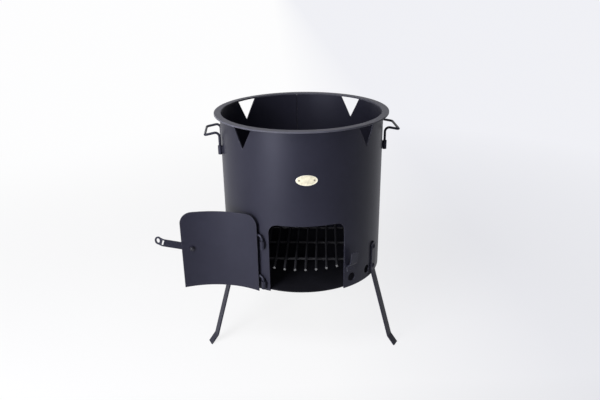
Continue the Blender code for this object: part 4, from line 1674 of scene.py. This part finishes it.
@dataclass
class Latch(SubAssembly):
    """The lever, on a bolt through the door with a washer under it and a nut behind."""

    raised: float = radians(17.5)
    washer_outer: float = 0.012
    washer_thickness: float = 0.001
    washer_edge: float = 0.0002
    width: float = 0.018
    thickness: float = 0.003
    ring_at: float = 0.0835
    ring_radius: float = 0.0095
    ring_hole: float = 0.0108
    ring_facets: int = 36
    outline_facets: int = 40
    slot_at: float = 0.070
    slot_length: float = 0.0046
    slot_width: float = 0.0122
    tip_bend: float = radians(40)
    bend_radius: float = 0.004

    def make_lever(self) -> Mesh:
        """The lever, its pivot at the origin, drawn lying along +X.

        Returns:
            The lever.
        """
        half = self.width / 2
        opening = atan2(half, sqrt(self.ring_radius ** 2 - half ** 2))
        outline = arc(0.0, 0.0, half, pi / 2, 3 * pi / 2, END_FACETS)
        outline += arc(self.ring_at, 0.0, self.ring_radius, opening - pi, pi - opening,
                       self.outline_facets)
        wide, tall = self.slot_length / 2, self.slot_width / 2
        slot = [(self.slot_at + x * wide, y * tall) for x, y in ((-1, -1), (1, -1), (1, 1), (-1, 1))]
        loops = [outline, slot, circle(self.ring_hole / 2, self.ring_facets, self.ring_at),
                 circle(self.bolt_hole / 2, HOLE_FACETS)]
        start = self.slot_at - self.bend_radius * self.tip_bend / 2
        return Blank(loops, self.thickness).folded([(start, self.bend_radius, self.tip_bend)])

    def build(self, door: Door, hinge: Hinge, fasteners: Fasteners) -> None:
        """Builds the washer, the bolt, the nut and the lever.

        Args:
            door: The door that carries them.
            hinge: The hinge that the door hangs on.
            fasteners: Where the bolt and the nut come from.
        """
        opened = door.swing(hinge)
        lever_radius = door.outer_radius + self.washer_thickness + 2 * GAP + self.thickness / 2
        head_radius = lever_radius + self.thickness / 2 + GAP
        rims = [circle(self.washer_outer / 2, self.ring_facets),
                circle(self.bolt_hole / 2, HOLE_FACETS)]
        washer = Blank(rims, self.washer_thickness, self.washer_edge).cut()
        bolt = fasteners.bolt(head_radius - door.inner_radius)
        nut = fasteners.nut()
        lever = self.make_lever()
        lever.transform(Matrix.Rotation(self.raised, 4, "Z"))
        parts = (
            ("latch_plain_washer", washer, Body.DOOR, Coat.FASTENER, "latch_washer",
             door.outer_radius + GAP + self.washer_thickness / 2),
            ("latch_coach_bolt", bolt, Body.DOOR, Coat.FASTENER, "latch_bolt", head_radius),
            ("latch_hex_nut", nut, Body.DOOR, Coat.FASTENER, "latch_nut",
             door.inner_radius - 2 * GAP - fasteners.nut_thickness / 2),
            ("latch_drop_lever", lever, Body.LATCH, Coat.BLACK, "latch_lever", lever_radius))
        for name, mesh, body, coat, node, radius in parts:
            on_wall(mesh, door.pivot_angle, radius, door.pivot_height)
            mesh.transform(opened)
            self.dress(name, mesh, node, body=body, coat=coat)


@dataclass
class Grate(SubAssembly):
    """Rods welded across three cross rods, loose on four rests inside the wall."""

    rod: float = 0.006
    radius: float = 0.185
    pitch: float = 0.025
    rods: int = 14
    cross_places: tuple[float, ...] = (-0.114, -0.022, 0.070)
    height: float = 0.0545
    turn: float = radians(-5)
    rest_width: float = 0.016
    rest_thickness: float = 0.003
    rest_bottom: float = 0.0350
    rest_bend: float = 0.003
    rest_shelf: float = 0.022
    rod_chamfer: float = 0.0006
    end_facing: float = 0.6
    spot_radius: float = 0.0030
    spot_height: float = 0.0016

    def build(self) -> None:
        """Builds the rods, the welds where they cross, and the rests."""
        place = Matrix.Translation((0.0, 0.0, self.height)) @ Matrix.Rotation(self.turn, 4, "Z")
        drop = -self.rod - GAP
        columns = [(i - (self.rods - 1) / 2) * self.pitch for i in range(self.rods)]
        for i, x in enumerate(columns, start=1):
            reach = sqrt(self.radius ** 2 - x ** 2)
            self.lay(f"grate_bar_{i:02d}", Vector((x, -reach, 0.0)), Vector((x, reach, 0.0)), place,
                     f"grate_rod_{i:02d}")
        for i, y in enumerate(self.cross_places, start=1):
            reach = sqrt(self.radius ** 2 - y ** 2)
            self.lay(f"grate_cross_bar_{i}", Vector((-reach, y, drop)), Vector((reach, y, drop)),
                     place, f"grate_cross_rod_{i}")
        spots = [blob(place @ Vector((x, y, drop / 2)), self.spot_radius, self.spot_height,
                      self.chance)
                 for y in self.cross_places for x in columns
                 if hypot(x, y) < self.radius - self.rod]
        self.dress("grate_welds", joined(spots), body=Body.GRATE, coat=Coat.GRATE)
        self.build_rests(drop)

    def lay(self, name: str, start: Vector, end: Vector, place: Matrix, node: str) -> None:
        """Lays one rod, its cut ends bare.

        Args:
            name: The piece's name.
            start: Its first end, in the grate's own frame.
            end: Its other end.
            place: Where the grate lies.
            node: The node of the model that it stands for.
        """
        mesh = bar([start, start.lerp(end, 0.5), end], self.rod, chamfer=self.rod_chamfer)
        along = (end - start).normalized()
        ends = [polygon.index for polygon in mesh.polygons
                if abs(polygon.normal.dot(along)) > self.end_facing]
        mesh.transform(place)
        piece = self.dress(name, mesh, node, body=Body.GRATE, coat=Coat.GRATE)
        finish_faces(piece, ends, self.finishes.cut_steel)

    def build_rests(self, drop: float) -> None:
        """Builds the bent rests under the first and last cross rods.

        Args:
            drop: Height of the cross rods' middle over that of the rods.
        """
        shelf_top = self.height + drop - self.rod / 2 - GAP
        rise = shelf_top - self.rest_thickness / 2 - self.rest_bend - self.rest_bottom
        end = rise + self.rest_bend * pi / 2 + self.rest_shelf
        half = self.rest_width / 2
        mesh = bent_strip(end, self.rest_width, self.rest_thickness, [(rise, self.rest_bend, -pi / 2)])
        back = sqrt(self.wall_inner ** 2 - half ** 2) - GAP
        ends = [atan2(sqrt(self.radius ** 2 - y ** 2), -y)
                for y in (self.cross_places[0], self.cross_places[-1])]
        for i, angle in enumerate((ends[0], -ends[0], ends[1], -ends[1]), start=1):
            placed = on_wall(mesh.copy(), angle + self.turn, back - self.rest_thickness / 2,
                             self.rest_bottom)
            self.dress(f"grate_rest_strip_{i}", placed, f"grate_rest_{i}")


@dataclass(frozen=True)
class Lamp:
    """A soft box that stands round the stove and looks at it."""

    name: str
    angle: float
    elevation: float
    distance: float
    width: float
    height: float
    power: float
    target_height: float = 0.1

    def build(self) -> None:
        """Adds the lamp."""
        data = bpy.data.lights.new(self.name, "AREA")
        data.shape = "RECTANGLE"
        data.size = self.width
        data.size_y = self.height
        data.energy = self.power
        lamp = added(self.name, data)
        tilt, target = radians(self.elevation), Vector((0.0, 0.0, self.target_height))
        lamp.location = target + polar(radians(self.angle), self.distance * cos(tilt),
                                       self.distance * sin(tilt))
        lamp.rotation_euler = (target - lamp.location).to_track_quat("-Z", "Y").to_euler()


@dataclass
class Studio:
    """The pale floor, the soft lamps, the world and the camera."""

    floor_height: float = -0.1915
    floor_radius: float = 25.0
    floor_facets: int = 64
    floor_colour: Colour = (0.80, 0.80, 0.83)
    floor_shade: Colour = (0.70, 0.70, 0.74)
    floor_roughness: float = 0.9
    floor_specular: float = 0.1
    fibre_scale: float = 300.0
    fibre_range: tuple[float, ...] = (0.3, 0.7, 0.0, 0.05)
    # The paper's colour where it is seen: lighter on the left, darker to the right and towards the front,
    # a painted light falloff
    lit_paper_left: Colour = (0.985, 0.985, 0.99)
    shaded_paper_right: Colour = (0.87, 0.875, 0.915)
    paper_shade_turn: tuple[float, float] = (0.05, 0.65)
    room_shade: Colour = (0.45, 0.45, 0.48)
    room_shade_edge: tuple[float, float] = (-1.6, -0.30)
    room_shade_turn: tuple[float, float] = (-0.2, 0.7)
    paper_share: float = 0.85
    shadow_reach: tuple[float, float] = (0.8, 2.2)
    ambient: float = 0.03
    lamps: tuple[Lamp, ...] = (
        Lamp("key_lamp", -40, 6, 2.0, 0.8, 1.1, 54.0, 0.27),
        Lamp("high_lamp", -48, 52, 2.2, 0.9, 0.9, 27.0),
        Lamp("fill_lamp", 36, 48, 2.2, 0.5, 0.5, 2.2),
        Lamp("rear_lamp", -146, 10, 2.4, 1.0, 0.9, 12.0))
    camera_place: tuple[float, float, float] = (-0.0723, -1.4269, 0.7300)
    camera_lens: float = 35.40
    camera_sensor: float = 36.0
    camera_yaw: float = -0.00432
    camera_pitch: float = 0.37916
    camera_roll: float = -0.01331
    camera_turn: float = radians(-2.9)

    def build(self) -> None:
        """Builds the floor, the lamps, the world and the camera."""
        self.build_floor()
        self.build_world()
        for lamp in self.lamps:
            lamp.build()
        self.build_camera()

    @staticmethod
    def seen(wires: Wiring) -> Socket:
        """One for a ray of the camera, or of a reflection or refraction of it, and zero for others.

        Args:
            wires: The wiring of the material or the world.

        Returns:
            The socket with that value.
        """
        path = wires.add("ShaderNodeLightPath").outputs
        both = wires.math("MAXIMUM", path["Is Camera Ray"], path["Is Glossy Ray"])
        return wires.math("MAXIMUM", both, path["Is Transmission Ray"])

    def build_floor(self) -> None:
        """Builds the floor: pale paper that keeps the stove's shadow, with a painted light falloff in the
        colour that is seen.
        """
        mesh = edited(bpy.data.meshes.new("floor"), lambda work: bmesh.ops.create_circle(
            work, cap_ends=True, segments=self.floor_facets, radius=self.floor_radius))
        floor = added("floor", mesh)
        floor.location.z = self.floor_height
        material = bpy.data.materials.new("pale_paper")
        material.use_nodes = True
        wires = Wiring(material.node_tree)
        shader = material.node_tree.nodes["Principled BSDF"]
        shader.inputs["Roughness"].default_value = self.floor_roughness
        shader.inputs["Specular IOR Level"].default_value = self.floor_specular
        where = wires.surface()
        shade = wires.spread(wires.noise(where, self.fibre_scale, 3.0), *self.fibre_range)
        colour = wires.blend(shade, opaque(self.floor_colour), opaque(self.floor_shade))
        wires.join(colour, shader.inputs["Base Color"])
        place = wires.add("ShaderNodeSeparateXYZ", {0: where}).outputs
        # Painted light falloff: the seen colour darkens to the right and towards the front
        paper_with_falloff = wires.blend(wires.spread(place[0], *self.paper_shade_turn), opaque(self.lit_paper_left),
                            opaque(self.shaded_paper_right))
        paper_with_falloff = wires.blend(wires.spread(place[1], *self.room_shade_edge), opaque(self.room_shade), paper_with_falloff)
        glow = wires.add("ShaderNodeEmission", {"Color": paper_with_falloff, "Strength": 1.0})
        near = wires.spread(wires.vector("LENGTH", {0: where}, "Value"), *self.shadow_reach,
                            self.paper_share, 1.0)
        share = wires.math("MULTIPLY", self.seen(wires), near)
        both = wires.add("ShaderNodeMixShader", {0: share, 1: shader.outputs[0], 2: glow.outputs[0]})
        wires.join(both.outputs[0], material.node_tree.nodes["Material Output"].inputs["Surface"])
        mesh.materials.append(material)

    def build_world(self) -> None:
        """Builds the world: pale behind and dim towards the front where it is seen, and a low even light.
        """
        world = bpy.data.worlds.new("studio")
        world.use_nodes = True
        bpy.context.scene.world = world
        wires = Wiring(world.node_tree)
        background = world.node_tree.nodes["Background"].inputs
        heading = wires.add("ShaderNodeTexCoord").outputs["Generated"]
        back = wires.add("ShaderNodeSeparateXYZ", {0: heading}).outputs[1]
        sky = wires.blend(wires.spread(back, *self.room_shade_turn), opaque(self.room_shade),
                          opaque(self.lit_paper_left))
        wires.join(sky, background["Color"])
        strength = wires.math("MULTIPLY_ADD", self.seen(wires), 1.0 - self.ambient, self.ambient)
        wires.join(strength, background["Strength"])

    def build_camera(self) -> None:
        """Builds the camera at the photographed angle."""
        data = bpy.data.cameras.new("camera")
        data.lens = self.camera_lens
        data.sensor_width = self.camera_sensor
        camera = added("camera", data)
        yaw, pitch, roll = self.camera_yaw, self.camera_pitch, self.camera_roll
        ahead = Vector((sin(yaw) * cos(pitch), cos(yaw) * cos(pitch), -sin(pitch)))
        level = Vector((cos(yaw), -sin(yaw), 0.0))
        upright = level.cross(ahead)
        right = level * cos(roll) + upright * sin(roll)
        up = upright * cos(roll) - level * sin(roll)
        turn = Matrix.Rotation(self.camera_turn, 3, "Z")
        facing = Matrix((turn @ right, turn @ up, -(turn @ ahead))).transposed().to_4x4()
        camera.matrix_world = Matrix.Translation(self.camera_place) @ facing
        bpy.context.scene.camera = camera
        bpy.context.scene.view_settings.view_transform = "Standard"


def main() -> None:
    """Builds every sub-assembly in order and reports its pieces."""
    logging.basicConfig(level=logging.INFO, format="%(name)s %(message)s")
    finishes = Finishes()
    fasteners = Fasteners(finishes)
    drum, legs, handles = Drum(finishes), Legs(finishes), Handles(finishes)
    badge, catch, hinge = Badge(finishes), Catch(finishes), Hinge(finishes)
    door, latch, grate = Door(finishes), Latch(finishes), Grate(finishes)
    drum.build(legs)
    legs.build(fasteners)
    handles.build()
    badge.build()
    catch.build()
    hinge.build()
    door.build(hinge)
    latch.build(door, hinge, fasteners)
    grate.build()
    for part in (drum, legs, handles, badge, catch, hinge, door, latch, grate):
        part.report()
    Studio().build()


if __name__ == "__main__":
    main()
